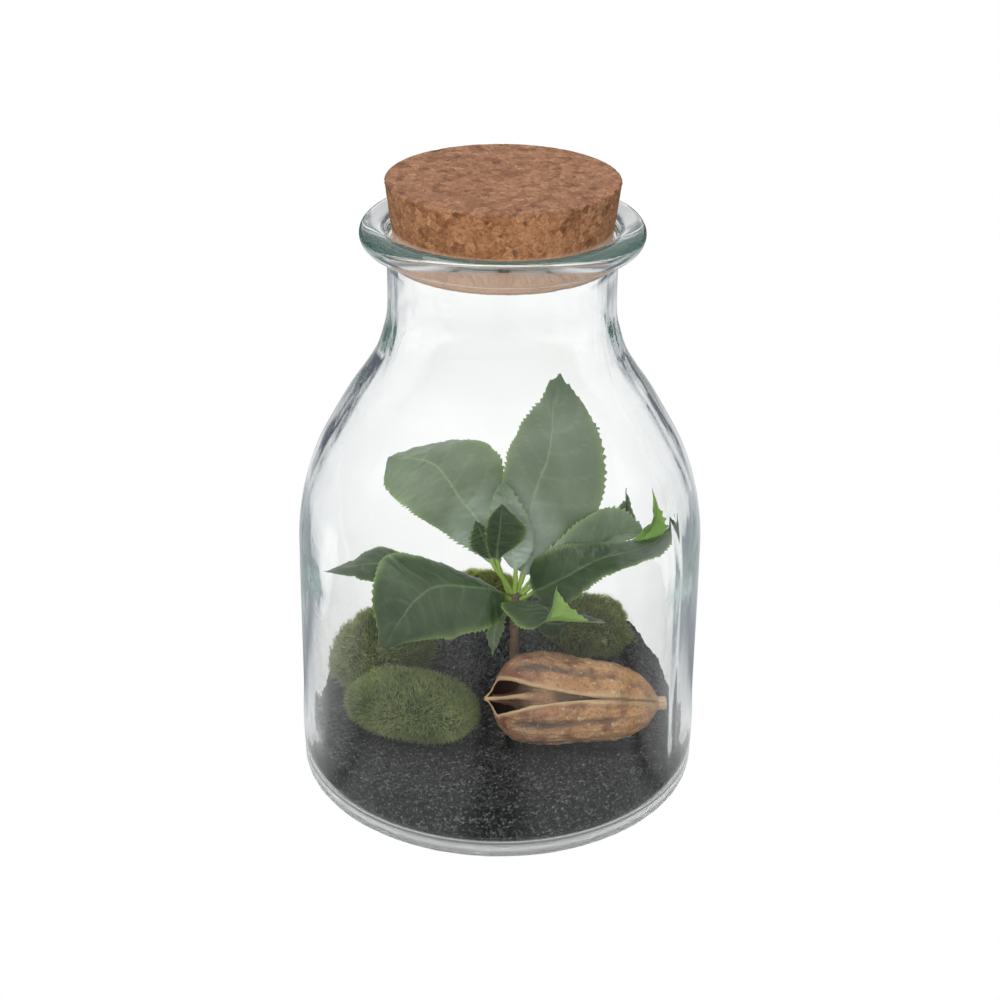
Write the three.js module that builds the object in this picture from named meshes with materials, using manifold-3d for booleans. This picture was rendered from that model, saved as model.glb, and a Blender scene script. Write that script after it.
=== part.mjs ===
// A closed glass bottle terrarium: a corked jar with a bed of dark sand, four moss stones,
// a dry seed capsule and a small evergreen plant.
// Millimetres, +Z up. The origin is the centre of the jar's foot; -Y is the front, +X the right side.
import * as THREE from 'three';
import { mergeVertices } from 'three/addons/utils/BufferGeometryUtils.js';
import Module from 'manifold-3d';

const wasm = await Module();
wasm.setup();

// ---------- driving dimensions ----------
const SEAT_GAP = 0.3;            // clearance between pieces that touch
const ROUND_SEGMENTS = 60;       // facets round the jar, the sand and the cork

// Jar, outside: wall radius at each height above the foot.
const PUNT_RISE = 0.9;           // shallow hollow under the foot
const PUNT_RADIUS = 38;
const FOOT_RING_INNER = 45;
const HEEL_RADIUS = 2.6;
const OUTER_WALL = [
  [54.6, 2.6], [54.9, 14], [54.5, 24], [54.4, 44], [54.3, 64], [54.0, 74], [52.3, 84], [49.0, 94],
  [44.9, 102], [40.3, 110], [36.2, 116], [32.7, 122], [30.7, 128], [29.5, 134], [29.4, 146],
  [29.5, 148.4], [30.2, 150.0], [31.3, 150.9],
];
// Jar, inside.
const FLOOR_HEIGHT = 2.6;
const INNER_HEEL_RADIUS = 3.2;
const INNER_WALL = [
  [52.2, 7], [51.4, 25], [50.9, 45], [51.0, 60], [51.3, 72], [49.9, 83], [46.4, 93],
  [42.1, 101], [37.3, 109.5], [33.3, 115.5], [30.0, 121.5], [28.4, 127.5], [27.6, 134], [27.5, 148],
  [27.9, 151], [28.5, 153.2], [29.2, 154.9],
];
// Jar, flared lip with a round bead, from its underside over its top, in degrees.
const LIP_CENTRE_RADIUS = 33;
const LIP_CENTRE_HEIGHT = 154.5;
const LIP_TUBE_RADIUS = 3.3;
const LIP_BEAD_FROM = -100;
const LIP_BEAD_TO = 150;

// Cork stopper.
const CORK_TOP_HEIGHT = 168.5;
const CORK_TOP_RADIUS = 29.75;
const CORK_BOTTOM_HEIGHT = 147.5;
const CORK_BOTTOM_RADIUS = 27.1;
const CORK_EDGE = 0.7;

// Sand bed: a level of about 17 mm with a low mound round the stem.
const SAND_LEVEL = 17;
const SAND_SLOPE = new THREE.Vector2(0.035, 0.03);
const MOUND = { x: 6, y: 10, height: 5.5, spread: 17 };
const SAND_RIPPLE = { height: 0.4, alongX: 9, alongY: 11 };
const SAND_TOP_RINGS = 7;

// Plant stem.
const STEM_RADIUS = 1.6;
const STEM_ROOT = new THREE.Vector3(4.6, 4.2, 10);
const STEM_MIDDLE = new THREE.Vector3(4.4, 3.8, 30);
const STEM_TOP = new THREE.Vector3(4.2, 3.6, 47);
const CROWN_RADIUS = 1;          // ring on the stem's top from which the upper leaves rise

// Leaves.
const BLADE_THICKNESS = 0.5;
const LEAF_AROUND = 8;
const LEAF_ALONG = 16;

// Moss stones: centre, half sizes and turn about Z.
const STONE_LUMP = 0.03;
const STONES = {
  moss_front_left: { centre: [-23.5, -14.5, 23], half: [19.5, 12, 9], turn: -20 },
  moss_back_left: { centre: [-33.5, 12.6, 23], half: [14.4, 13.2, 11], turn: 0 },
  moss_back_right: { centre: [26.5, 22, 25.5], half: [14, 11, 8.5], turn: 0 },
  moss_back_centre: { centre: [-5, 42, 26], half: [11, 6.5, 8.5], turn: 0 },
};

// Seed capsule: radius along its length from the open tip to the stalk.
const POD_TIP = new THREE.Vector3(-3.6, -20.5, 29);
const POD_END = new THREE.Vector3(46, -20, 27.8);
const POD_FACE_LIFT = 36;        // degrees that the split turns up from the front
const POD_OUTLINE = [
  [0, 0], [0.7, 2.2], [5.4, 2.6], [9, 5], [11.6, 8.4], [12.7, 14.5], [12.3, 23], [11.4, 31],
  [10.2, 37], [7.8, 42.5], [4.2, 45.8], [1.6, 46.6], [1.5, 49.6], [0, 49.6],
];
const POD_SEGMENTS = 24;
const POD_MOUTH = { start: -2, wide: 2.6, length: 27, halfHeight: 5, septum: 0.45, floor: 3.7, reach: 16 };

// Leaves. node is the height at which the petiole leaves the stem, and spine is the run of the petiole and
// midrib from there to the tip. left and right reach from the midrib to the margins near the blade's base,
// its middle and its tip. peak is where the blade is widest, round and point shape its base and its tip,
// petiole is the bare share of the run and stalk its radius.
const LEAVES = {
  leaf_upright: {
    node: STEM_TOP.z,
    spine: [[7.6, 5.5, 58.5], [9, 9.5, 73], [13.7, 14, 88.5], [16.3, 16.5, 107]],
    left: [[-9.5, -1.5, 6], [-10, -1, 4], [-11, 0, 1]],
    right: [[7, 2, -6], [16, 3.5, -12.2], [17, 6.5, -0.5]],
    peak: 0.57, round: 0.46, point: 1.0, petiole: 0.14, stalk: 0.8, colour: 0x5f7a5c,
  },
  leaf_upper_left: {
    node: 46.2,
    spine: [[-2, 6, 58], [-9, 7.5, 73], [-19, 9, 84.5], [-31, 9, 86.5]],
    left: [[-12.5, -5, -0.5], [-10.5, -6, -6], [-5, -5.5, -10.5]],
    right: [[13, 1, 6.5], [13, 6, 5], [9.5, 10, 0]],
    peak: 0.62, round: 0.71, point: 0.53, petiole: 0.2, stalk: 0.7, colour: 0x5f7a5c,
  },
  leaf_back_left: {
    node: 44.2,
    spine: [[-10.5, 8.5, 47.7], [-25, 10, 50], [-34, 6, 54.5], [-48.5, -2.5, 56.5]],
    left: [[-2, -8, 0], [2, -7, -3], [5.5, -5.5, -5]],
    right: [[1.5, 10.5, 2], [-2.5, 11, 2], [2, 10.5, -1]],
    peak: 0.59, round: 0.65, point: 1.23, petiole: 0.1, stalk: 0.7, colour: 0x2f4a2a,
  },
  leaf_front_left: {
    node: 45.6,
    spine: [[-3.5, -5, 53], [-17, -7.5, 55], [-23, -10.5, 52], [-31, -15, 41]],
    left: [[2, -9, -11.5], [6.5, -7, -12], [11.5, -1.5, -5]],
    right: [[-8, 10, -2], [-10, 9, 7.2], [-12.5, 1.5, 6]],
    peak: 0.59, round: 0.44, point: 0.93, petiole: 0.08, stalk: 0.7, colour: 0x2c4a2e,
  },
  leaf_right_upper: {
    node: 46.2,
    spine: [[12.5, 3.5, 53], [24.5, 8, 58.8], [34, 16, 61.2], [41.5, 18, 60.4]],
    left: [[-3.5, 1, 8.5], [-2, 2.5, 9.2], [3, 5, 4]],
    right: [[5, -6, -1.5], [2, -5, -1.5], [-1, -2, -1]],
    peak: 0.55, round: 0.63, point: 0.77, petiole: 0.1, stalk: 0.7, colour: 0x4a5a50,
  },
  leaf_right_young: {
    node: 43.6,
    spine: [[17, 10, 49], [30.5, 11.5, 52.5], [39.6, 8, 61], [42, 7, 80]],
    left: [[-3, 4, 5], [-2.5, -0.5, 5.5], [1.5, -6, 1.5]],
    right: [[4, -5, -3.5], [6, -1.5, -0.5], [7, -2.5, -3]],
    peak: 0.68, round: 0.58, point: 1.41, petiole: 0.3, stalk: 0.6, colour: 0x86b04a,
  },
  leaf_right_long: {
    node: 45.2,
    spine: [[18, -4.5, 57], [27, -3, 62], [43, -1, 67], [49, -1.5, 76.5]],
    left: [[-5, 8, 12.5], [0, 8, 1.5], [4, 7.5, -3.5]],
    right: [[5, -9, -4.5], [2.5, -9.5, 0], [9, -8, 1.5]],
    peak: 0.39, round: 0.51, point: 1.06, petiole: 0.08, stalk: 0.7, colour: 0x37482f,
  },
  leaf_back_right: {
    node: 45.2,
    spine: [[14, 18, 50.5], [27, 27, 53], [35, 28.5, 59.5], [36.5, 30, 69]],
    left: [[-4.5, 3.5, 4.5], [-2.5, 0, 6], [0.5, -6, 3]],
    right: [[3.5, -5, -3], [3, -5.5, -2], [5, -5, 0.5]],
    peak: 0.58, round: 0.61, point: 1.36, petiole: 0.12, stalk: 0.6, colour: 0x5f7a5c,
  },
  leaf_front_folded: {
    node: 43.4,
    spine: [[8.7, -6, 49.3], [14, -10, 48.8], [14, -15.5, 50], [15.3, -16, 60.5]],
    left: [[12, 4, -5.2], [15, 1, -3], [13.5, -0.5, 1]],
    right: [[-11, -2, 1], [-10.5, -5.5, 1], [3.5, -12.5, 1.5]],
    peak: 0.48, round: 0.63, point: 1.68, petiole: 0.12, stalk: 0.6, colour: 0x4d6b45,
  },
  leaf_low_right: {
    node: 40.6,
    spine: [[9.2, 4, 40.5], [13.6, 3, 37.7], [17.5, 3, 37.2], [21.4, 3, 39.4]],
    left: [[0, 2, 2], [0, 3, 3], [0, 2, 2]],
    right: [[0, -1, -4], [0, -1, -4.5], [0, -0.5, -3]],
    peak: 0.5, round: 0.6, point: 0.9, petiole: 0.15, stalk: 0.6, colour: 0x33452c,
  },
  leaf_small_hanging: {
    node: 41.4,
    spine: [[0.2, -1.5, 42.2], [-1.6, -3.5, 38.5], [-2, -4, 31]],
    left: [[-2, 0, -0.5], [-2.3, 0, 0], [-1.5, 0, 0]],
    right: [[2, 0, 0.5], [2.4, 0, 0], [1.5, 0, 0]],
    peak: 0.55, round: 0.6, point: 1.0, petiole: 0.25, stalk: 0.5, colour: 0x7fa53c,
  },
  leaf_centre_front: {
    node: STEM_TOP.z,
    spine: [[0, -0.5, 57], [-1, -3, 64.5], [-0.4, -5, 73], [0.2, -5.5, 80.5]],
    left: [[-4, 0, 1], [-3.6, -1, 1.5], [-3, -1, 1]],
    right: [[1, 0, -1], [7, -2, -1], [9, -1, -3]],
    peak: 0.5, round: 0.6, point: 0.8, petiole: 0.45, stalk: 0.5, colour: 0x33502a,
  },
  leaf_centre_back: {
    node: STEM_TOP.z,
    spine: [[4.2, 1.5, 58], [2.4, 2.4, 68.5], [0.4, 2.5, 82.3]],
    left: [[-4.5, 0, 1], [-5.5, 0, 1], [-5, 0, 0.5]],
    right: [[3, 0, -1], [7, 0, -1.5], [6, 0, -0.5]],
    peak: 0.5, round: 0.6, point: 0.6, petiole: 0.3, stalk: 0.5, colour: 0x6e8a5c,
  },
  leaf_centre_side: {
    node: STEM_TOP.z,
    spine: [[-1.8, 2.2, 57], [-3.8, 1, 64], [-7, -0.7, 73]],
    left: [[-3, 0, -1], [-3.4, 0, -1.5], [-2, 0, -1]],
    right: [[3, 0, 1], [3.2, 0, 1.5], [2, 0, 1]],
    peak: 0.5, round: 0.6, point: 1.0, petiole: 0.52, stalk: 0.4, colour: 0x3f5c34,
  },
};

// ---------- geometry helpers ----------

/** Merged, uv-free copy of a geometry without collapsed triangles, ready for a solid. */
function weld(geometry) {
  const bare = geometry.clone();
  bare.deleteAttribute('normal');
  bare.deleteAttribute('uv');
  const merged = mergeVertices(bare, 1e-4);
  const index = merged.getIndex();
  const kept = [];
  for (let i = 0; i < index.count; i += 3) {
    const [a, b, c] = [index.getX(i), index.getX(i + 1), index.getX(i + 2)];
    if (a !== b && b !== c && c !== a) kept.push(a, b, c);
  }
  merged.setIndex(kept);
  return merged;
}

/** Solid of a closed geometry. */
function toSolid(geometry) {
  const welded = weld(geometry);
  return new wasm.Manifold(new wasm.Mesh({
    numProp: 3,
    vertProperties: new Float32Array(welded.getAttribute('position').array),
    triVerts: new Uint32Array(welded.getIndex().array),
  }));
}

/** Geometry of a solid. */
function fromSolid(solid) {
  const mesh = solid.getMesh();
  const geometry = new THREE.BufferGeometry();
  geometry.setAttribute('position', new THREE.BufferAttribute(new Float32Array(mesh.vertProperties), 3));
  geometry.setIndex(new THREE.BufferAttribute(new Uint32Array(mesh.triVerts), 1));
  geometry.computeVertexNormals();
  return geometry;
}

/** Solid of revolution about Z from [radius, height] points that run outside first, bottom to top. */
function turned(points, segments) {
  const profile = points.map(([radius, height]) => new THREE.Vector2(radius, height));
  return weld(new THREE.LatheGeometry(profile, segments).rotateX(Math.PI / 2));
}

/** [radius, height] points of an arc, with angles in degrees from the outward direction. */
function arc(centreRadius, centreHeight, radius, fromAngle, toAngle, steps) {
  return Array.from({ length: steps + 1 }, (_, i) => {
    const angle = THREE.MathUtils.degToRad(fromAngle + ((toAngle - fromAngle) * i) / steps);
    return [centreRadius + radius * Math.cos(angle), centreHeight + radius * Math.sin(angle)];
  });
}

/** Value between three stations at the base, middle and tip. */
function betweenStations(stations, u) {
  const place = THREE.MathUtils.clamp(u, 0, 1) * (stations.length - 1);
  const first = Math.min(Math.floor(place), stations.length - 2);
  const from = new THREE.Vector3(...stations[first]);
  return from.lerp(new THREE.Vector3(...stations[first + 1]), place - first);
}

// ---------- jar ----------
function glassJar() {
  const heel = arc(OUTER_WALL[0][0] - HEEL_RADIUS, HEEL_RADIUS, HEEL_RADIUS, -90, 0, 3);
  const lip = arc(
    LIP_CENTRE_RADIUS, LIP_CENTRE_HEIGHT, LIP_TUBE_RADIUS, LIP_BEAD_FROM, LIP_BEAD_TO, 10,
  );
  const innerHeelRadius = INNER_WALL[0][0] - INNER_HEEL_RADIUS;
  const innerHeel = arc(innerHeelRadius, FLOOR_HEIGHT + INNER_HEEL_RADIUS, INNER_HEEL_RADIUS, 0, -90, 2);
  return turned([
    [0, PUNT_RISE], [PUNT_RADIUS, PUNT_RISE], [FOOT_RING_INNER, 0], ...heel, ...OUTER_WALL.slice(1),
    ...lip, ...INNER_WALL.toReversed(), ...innerHeel, [0, FLOOR_HEIGHT],
  ], ROUND_SEGMENTS);
}

// ---------- cork ----------
function corkStopper() {
  return turned([
    [0, CORK_BOTTOM_HEIGHT], [CORK_BOTTOM_RADIUS - CORK_EDGE, CORK_BOTTOM_HEIGHT],
    [CORK_BOTTOM_RADIUS, CORK_BOTTOM_HEIGHT + CORK_EDGE],
    [CORK_TOP_RADIUS, CORK_TOP_HEIGHT - CORK_EDGE],
    [CORK_TOP_RADIUS - CORK_EDGE, CORK_TOP_HEIGHT], [0, CORK_TOP_HEIGHT],
  ], ROUND_SEGMENTS);
}

// ---------- plant ----------

/** Relative half width of a blade at u, from 0 at its base to 0 at its tip. */
function bladeWidth(leaf, u) {
  if (u <= 0 || u >= 1) return 0;
  const skew = Math.log(0.5) / Math.log(leaf.peak);
  return Math.sin(Math.PI * u ** skew) ** (leaf.round + (leaf.point - leaf.round) * u ** 3);
}

/** Point where a petiole meets the stem: on its side, or near the rim of its top. */
function leafBase(leaf) {
  const toward = new THREE.Vector3(leaf.spine[0][0] - STEM_TOP.x, leaf.spine[0][1] - STEM_TOP.y, 0);
  toward.normalize();
  if (leaf.node >= STEM_TOP.z) {
    return STEM_TOP.clone().addScaledVector(toward, CROWN_RADIUS).add(new THREE.Vector3(0, 0, SEAT_GAP));
  }
  const share = (leaf.node - STEM_MIDDLE.z) / (STEM_TOP.z - STEM_MIDDLE.z);
  const axis = STEM_MIDDLE.clone().lerp(STEM_TOP, share);
  return axis.addScaledVector(toward, STEM_RADIUS + SEAT_GAP);
}

/** One leaf with its petiole: a long round form pressed flat into the blade. */
function leafGeometry(leaf) {
  const run = leaf.spine.map((p) => new THREE.Vector3(...p));
  const spine = new THREE.CatmullRomCurve3([leafBase(leaf), ...run]);
  const geometry = new THREE.SphereGeometry(1, LEAF_AROUND, LEAF_ALONG);
  const position = geometry.getAttribute('position');
  for (let i = 0; i < position.count; i += 1) {
    const vertex = new THREE.Vector3().fromBufferAttribute(position, i);
    const polar = Math.acos(THREE.MathUtils.clamp(vertex.y, -1, 1));
    const ring = Math.sin(polar);
    const t = 1 - polar / Math.PI;
    const onPole = ring < 1e-6;
    const across = onPole ? 0 : vertex.x / ring;
    const through = onPole ? 0 : vertex.z / ring;
    const u = (t - leaf.petiole) / (1 - leaf.petiole);
    const tangent = spine.getTangent(t);
    const left = betweenStations(leaf.left, u);
    const right = betweenStations(leaf.right, u);
    const side = across < 0 ? left : right;
    const rightNormal = right.clone().cross(tangent).normalize();
    const leftNormal = tangent.clone().cross(left).normalize();
    const normal = leftNormal.lerp(rightNormal, (1 + across) / 2).normalize();
    const blade = bladeWidth(leaf, u);
    const stalk = leaf.stalk * (1 - THREE.MathUtils.smoothstep(u, 0, 0.9));
    const reach = Math.abs(across) * (blade + (stalk / side.length()) * (1 - blade));
    const flat = THREE.MathUtils.smoothstep(u, -0.05, 0.2);
    const thick = THREE.MathUtils.lerp(leaf.stalk, BLADE_THICKNESS / 2, flat);
    const point = spine.getPoint(t);
    point.addScaledVector(side, onPole ? 0 : reach);
    point.addScaledVector(normal, through * thick);
    position.setXYZ(i, point.x, point.y, point.z);
  }
  return weld(geometry);
}

/** Round tube through a few points. */
function tube(points, radius, sides, steps) {
  const section = new THREE.Shape(new THREE.EllipseCurve(0, 0, radius, radius).getPoints(sides));
  const path = new THREE.CatmullRomCurve3(points);
  return new THREE.ExtrudeGeometry(section, { steps, extrudePath: path, curveSegments: sides });
}

function stemGeometry() {
  return weld(tube([STEM_ROOT, STEM_MIDDLE, STEM_TOP], STEM_RADIUS, 12, 8));
}

// ---------- moss stones ----------

/** Lumpy pebble of the given half sizes; grow adds the same amount all round. */
function stoneGeometry({ centre, half, turn }, grow = 0) {
  const geometry = new THREE.SphereGeometry(1, 18, 11);
  const position = geometry.getAttribute('position');
  for (let i = 0; i < position.count; i += 1) {
    const v = new THREE.Vector3().fromBufferAttribute(position, i);
    const lump = 1 + STONE_LUMP * Math.sin(4 * v.x + centre[0]) * Math.cos(3 * v.y + v.z);
    const [x, y, z] = half.map((size) => size * lump + grow);
    position.setXYZ(i, v.x * x, v.y * y, v.z * z);
  }
  geometry.rotateZ(THREE.MathUtils.degToRad(turn));
  geometry.translate(...centre);
  return weld(geometry);
}

// ---------- seed capsule ----------

/** Turn and place a shape built along +Z, with its split towards +X, where the capsule lies. */
function layPod(geometry) {
  const along = POD_END.clone().sub(POD_TIP).normalize();
  const lift = THREE.MathUtils.degToRad(POD_FACE_LIFT);
  const facing = new THREE.Vector3(0, -Math.cos(lift), Math.sin(lift));
  facing.addScaledVector(along, -facing.dot(along)).normalize();
  const sideways = along.clone().cross(facing);
  geometry.applyMatrix4(new THREE.Matrix4().makeBasis(facing, sideways, along).setPosition(POD_TIP));
  return geometry;
}

/** Wedge-shaped mouth beside the septum; flip is 1 or -1. */
function podMouth(flip) {
  const outline = new THREE.Shape([
    new THREE.Vector2(flip * POD_MOUTH.septum, POD_MOUTH.start),
    new THREE.Vector2(flip * POD_MOUTH.halfHeight, POD_MOUTH.start),
    new THREE.Vector2(flip * POD_MOUTH.halfHeight, POD_MOUTH.wide),
    new THREE.Vector2(flip * POD_MOUTH.septum, POD_MOUTH.length),
  ]);
  const wedge = new THREE.ExtrudeGeometry(outline, { depth: POD_MOUTH.reach, bevelEnabled: false });
  // The outline's x becomes the sideways direction and its y the length; the depth runs out of the front.
  wedge.applyMatrix4(new THREE.Matrix4().makeBasis(
    new THREE.Vector3(0, 1, 0), new THREE.Vector3(0, 0, 1), new THREE.Vector3(1, 0, 0),
  ));
  wedge.translate(POD_MOUTH.floor, 0, 0);
  return layPod(wedge);
}

function podBody(grow = 0) {
  const outline = POD_OUTLINE.map(([radius, length]) => [radius > 0 ? radius + grow : 0, length]);
  outline[0][1] -= grow;
  outline.at(-1)[1] += grow;
  outline.at(-2)[1] += grow;
  return layPod(turned(outline, POD_SEGMENTS));
}

function podGeometry() {
  return fromSolid(toSolid(podBody()).subtract(toSolid(podMouth(1))).subtract(toSolid(podMouth(-1))));
}

// ---------- sand ----------

/** Height of the sand's surface. */
function sandHeight(x, y) {
  const away = (x - MOUND.x) ** 2 + (y - MOUND.y) ** 2;
  const mound = MOUND.height * Math.exp(-away / (2 * MOUND.spread ** 2));
  const ripple = SAND_RIPPLE.height
    * Math.sin(x / SAND_RIPPLE.alongX + 1) * Math.cos(y / SAND_RIPPLE.alongY);
  return SAND_LEVEL + SAND_SLOPE.x * x + SAND_SLOPE.y * y + mound + ripple;
}

/** Sand bed inside the jar, with seats for everything that stands in it. */
function sandGeometry() {
  const wallRadius = INNER_WALL[1][0] - SEAT_GAP;
  const floor = FLOOR_HEIGHT + SEAT_GAP;
  const heel = arc(wallRadius - INNER_HEEL_RADIUS, floor + INNER_HEEL_RADIUS, INNER_HEEL_RADIUS, -90, 0, 3);
  const rings = Array.from({ length: SAND_TOP_RINGS }, (_, i) => [
    wallRadius * (1 - i / SAND_TOP_RINGS), SAND_LEVEL,
  ]);
  const bed = turned([[0, floor], ...heel, ...rings, [0, SAND_LEVEL]], ROUND_SEGMENTS);
  const position = bed.getAttribute('position');
  for (let i = 0; i < position.count; i += 1) {
    if (position.getZ(i) > SAND_LEVEL - 0.01) {
      position.setZ(i, sandHeight(position.getX(i), position.getY(i)));
    }
  }
  let solid = toSolid(bed);
  for (const stone of Object.values(STONES)) {
    solid = solid.subtract(toSolid(stoneGeometry(stone, SEAT_GAP)));
  }
  solid = solid.subtract(toSolid(podBody(SEAT_GAP)));
  const root = STEM_ROOT.clone().setZ(STEM_ROOT.z - SEAT_GAP);
  solid = solid.subtract(toSolid(tube([root, STEM_MIDDLE, STEM_TOP], STEM_RADIUS + SEAT_GAP, 12, 8)));
  return fromSolid(solid);
}

// ---------- assembly ----------
const finishes = {
  glass: { color: 0xdfe9e4, roughness: 0.05, metalness: 0, transparent: true, opacity: 0.3 },
  cork: { color: 0xa9744a, roughness: 0.9, metalness: 0 },
  sand: { color: 0x3a3a3d, roughness: 0.85, metalness: 0 },
  moss: { color: 0x5c6d2c, roughness: 1, metalness: 0 },
  pod: { color: 0x8a5a38, roughness: 0.8, metalness: 0 },
  stem: { color: 0x7a5a3a, roughness: 0.7, metalness: 0 },
};

const terrarium = new THREE.Group();
terrarium.name = 'terrarium';

function add(name, geometry, finish) {
  const mesh = new THREE.Mesh(geometry, new THREE.MeshStandardMaterial(finish));
  mesh.name = name;
  terrarium.add(mesh);
}

add('glass_jar', glassJar(), finishes.glass);
add('cork_stopper', corkStopper(), finishes.cork);
add('sand_bed', sandGeometry(), finishes.sand);
for (const [name, stone] of Object.entries(STONES)) add(name, stoneGeometry(stone), finishes.moss);
add('seed_capsule', podGeometry(), finishes.pod);
add('plant_stem', stemGeometry(), finishes.stem);
for (const [name, leaf] of Object.entries(LEAVES)) {
  add(name, leafGeometry(leaf), { color: leaf.colour, roughness: 0.4, metalness: 0 });
}

export default terrarium;
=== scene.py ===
"""Corked glass bottle with dark sand, moss stones, a dry seed capsule and a small evergreen plant.

Lengths are in millimetres until a mesh is made, and in metres after that.
"""

import math

import bpy
import numpy as np
from mathutils import Matrix, Vector


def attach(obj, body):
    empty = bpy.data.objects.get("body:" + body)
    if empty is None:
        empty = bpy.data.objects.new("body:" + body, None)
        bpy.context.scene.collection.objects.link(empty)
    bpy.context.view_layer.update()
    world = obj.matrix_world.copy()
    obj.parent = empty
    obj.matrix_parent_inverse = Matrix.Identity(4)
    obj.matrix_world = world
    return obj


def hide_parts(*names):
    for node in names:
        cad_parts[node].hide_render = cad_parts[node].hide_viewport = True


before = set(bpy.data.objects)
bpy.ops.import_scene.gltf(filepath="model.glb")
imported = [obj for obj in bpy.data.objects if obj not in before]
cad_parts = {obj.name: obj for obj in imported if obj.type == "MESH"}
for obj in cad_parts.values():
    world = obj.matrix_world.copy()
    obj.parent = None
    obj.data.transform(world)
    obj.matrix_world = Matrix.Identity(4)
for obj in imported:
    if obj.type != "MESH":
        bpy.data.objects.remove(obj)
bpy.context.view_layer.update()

MM = 0.001
BODY = "root"
TAU = 2 * math.pi

# ---------- the bottle's own sizes ----------
OUTER_WALL = [
    (54.6, 2.6), (54.9, 14), (54.5, 24), (54.4, 44), (54.3, 64), (54.0, 74), (52.3, 84), (49.0, 94),
    (44.9, 102), (40.3, 110), (36.2, 116), (32.7, 122), (30.7, 128), (29.5, 134), (29.4, 146),
    (29.5, 148.4), (30.2, 150.0), (31.3, 150.9),
]
INNER_WALL = [
    (52.2, 7), (51.4, 25), (50.9, 45), (51.0, 60), (51.3, 72), (49.9, 83), (46.4, 93),
    (42.1, 101), (37.3, 109.5), (33.3, 115.5), (30.0, 121.5), (28.4, 127.5), (27.6, 134), (27.5, 148),
    (27.9, 151), (28.5, 153.2), (29.2, 154.9),
]
PUNT_RISE, PUNT_RADIUS, FOOT_RING_INNER, HEEL_RADIUS = 0.9, 38, 45, 2.6
FLOOR_HEIGHT, FLOOR_CROWN, INNER_HEEL_RADIUS = 2.6, 0.6, 3.2
LIP_CENTRE, LIP_TUBE_RADIUS, LIP_ARC = (33, 154.5), 3.3, (-100, 150)
SEAM_ANGLES, SEAM_REACH, SEAM_WIDTH, SEAM_RISE = (math.radians(-31), math.radians(149)), 54, 0.22, 0.16

CORK_TOP, CORK_TOP_RADIUS = 168.5, 29.75
CORK_BOTTOM, CORK_BOTTOM_RADIUS = 147.5, 27.1

# ---------- what lies inside ----------
SAND_LEVEL, SAND_SLOPE, SAND_GRAIN, LOOSE_GRAINS = 17.0, (0.035, 0.03), 0.9, 9000
MOUND = {"x": 6, "y": 10, "height": 5.5, "spread": 17}
STEM = [(4.6, 4.2, 10), (4.4, 3.8, 30), (4.2, 3.6, 47)]
STEM_RADIUS, CROWN_RADIUS, SEAT_GAP = 1.6, 1.0, 0.3
CROWN, LEAF_SCARS = (1, 5, 63), (26, 31, 35.5, 39)

MOSS_FIBRE_LENGTH = 2.3
# Each stone's middle, half sizes and turn, the fibres drawn for it before those underneath are left out,
# and its moss's name and three tones.
STONES = {
    "moss_front_left": {
        "at": (-23.5, -14.5, 23.5), "half": (19.5, 12, 8.6), "turn": -20, "fibres": 15000,
        "moss": ("moss_olive", (0.018, 0.028, 0.006), (0.12, 0.15, 0.04), (0.36, 0.41, 0.14)),
    },
    "moss_back_left": {
        "at": (-34, 12.6, 23), "half": (15.6, 13.4, 11), "turn": 0, "fibres": 13000,
        "moss": ("moss_fresh", (0.026, 0.034, 0.008), (0.14, 0.165, 0.045), (0.38, 0.42, 0.14)),
    },
    "moss_back_right": {
        "at": (26.5, 22, 25.5), "half": (14, 11, 8.5), "turn": 0, "fibres": 10000,
        "moss": ("moss_green", (0.028, 0.036, 0.008), (0.16, 0.19, 0.05), (0.42, 0.46, 0.16)),
    },
    "moss_back_centre": {
        "at": (-5, 42, 26), "half": (11, 6.5, 8.5), "turn": 0, "fibres": 5000,
        "moss": ("moss_yellow", (0.08, 0.09, 0.015), (0.33, 0.36, 0.05), (0.6, 0.64, 0.14)),
    },
}

POD_TIP, POD_END, POD_FACE_LIFT = (-3.8, -20.5, 29.5), (46.0, -20.0, 28.3), math.radians(36)
POD_LENGTH, POD_BED_RADIUS = 48.4, 12.8
# Length from the capsule's tip against its radius, the half width of its split and the radius of its core.
POD_RADIUS = [
    (0, 0.5), (1.2, 1.3), (2.4, 3.4), (3.2, 5.6), (5, 8.4), (8.4, 10.8), (14.5, 11.8), (23, 11.4), (31, 10.6),
    (37, 9.4), (42.2, 7.0), (44.9, 4.0), (45.9, 2.2), (47.0, 1.7), (48.0, 1.9), (48.4, 1.7),
]
POD_OPENING = [
    (0, 0.2), (1.2, 1.0), (2.4, 2.9), (3.4, 4.6), (5, 4.45), (8.5, 3.7), (12, 2.7), (17, 1.9), (22, 1.2),
    (27, 0.65), (32, 0.22), (38, 0.12), (48.4, 0.1),
]
POD_CORE = [
    (2.2, 0.9), (6.5, 1.5), (9, 2.8), (10.8, 6.2), (13, 9.3), (15.5, 10.4), (18.5, 10.8), (24, 10.4),
    (32, 9.2), (38, 7.8), (42.6, 5.0), (44.6, 2.2),
]

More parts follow.
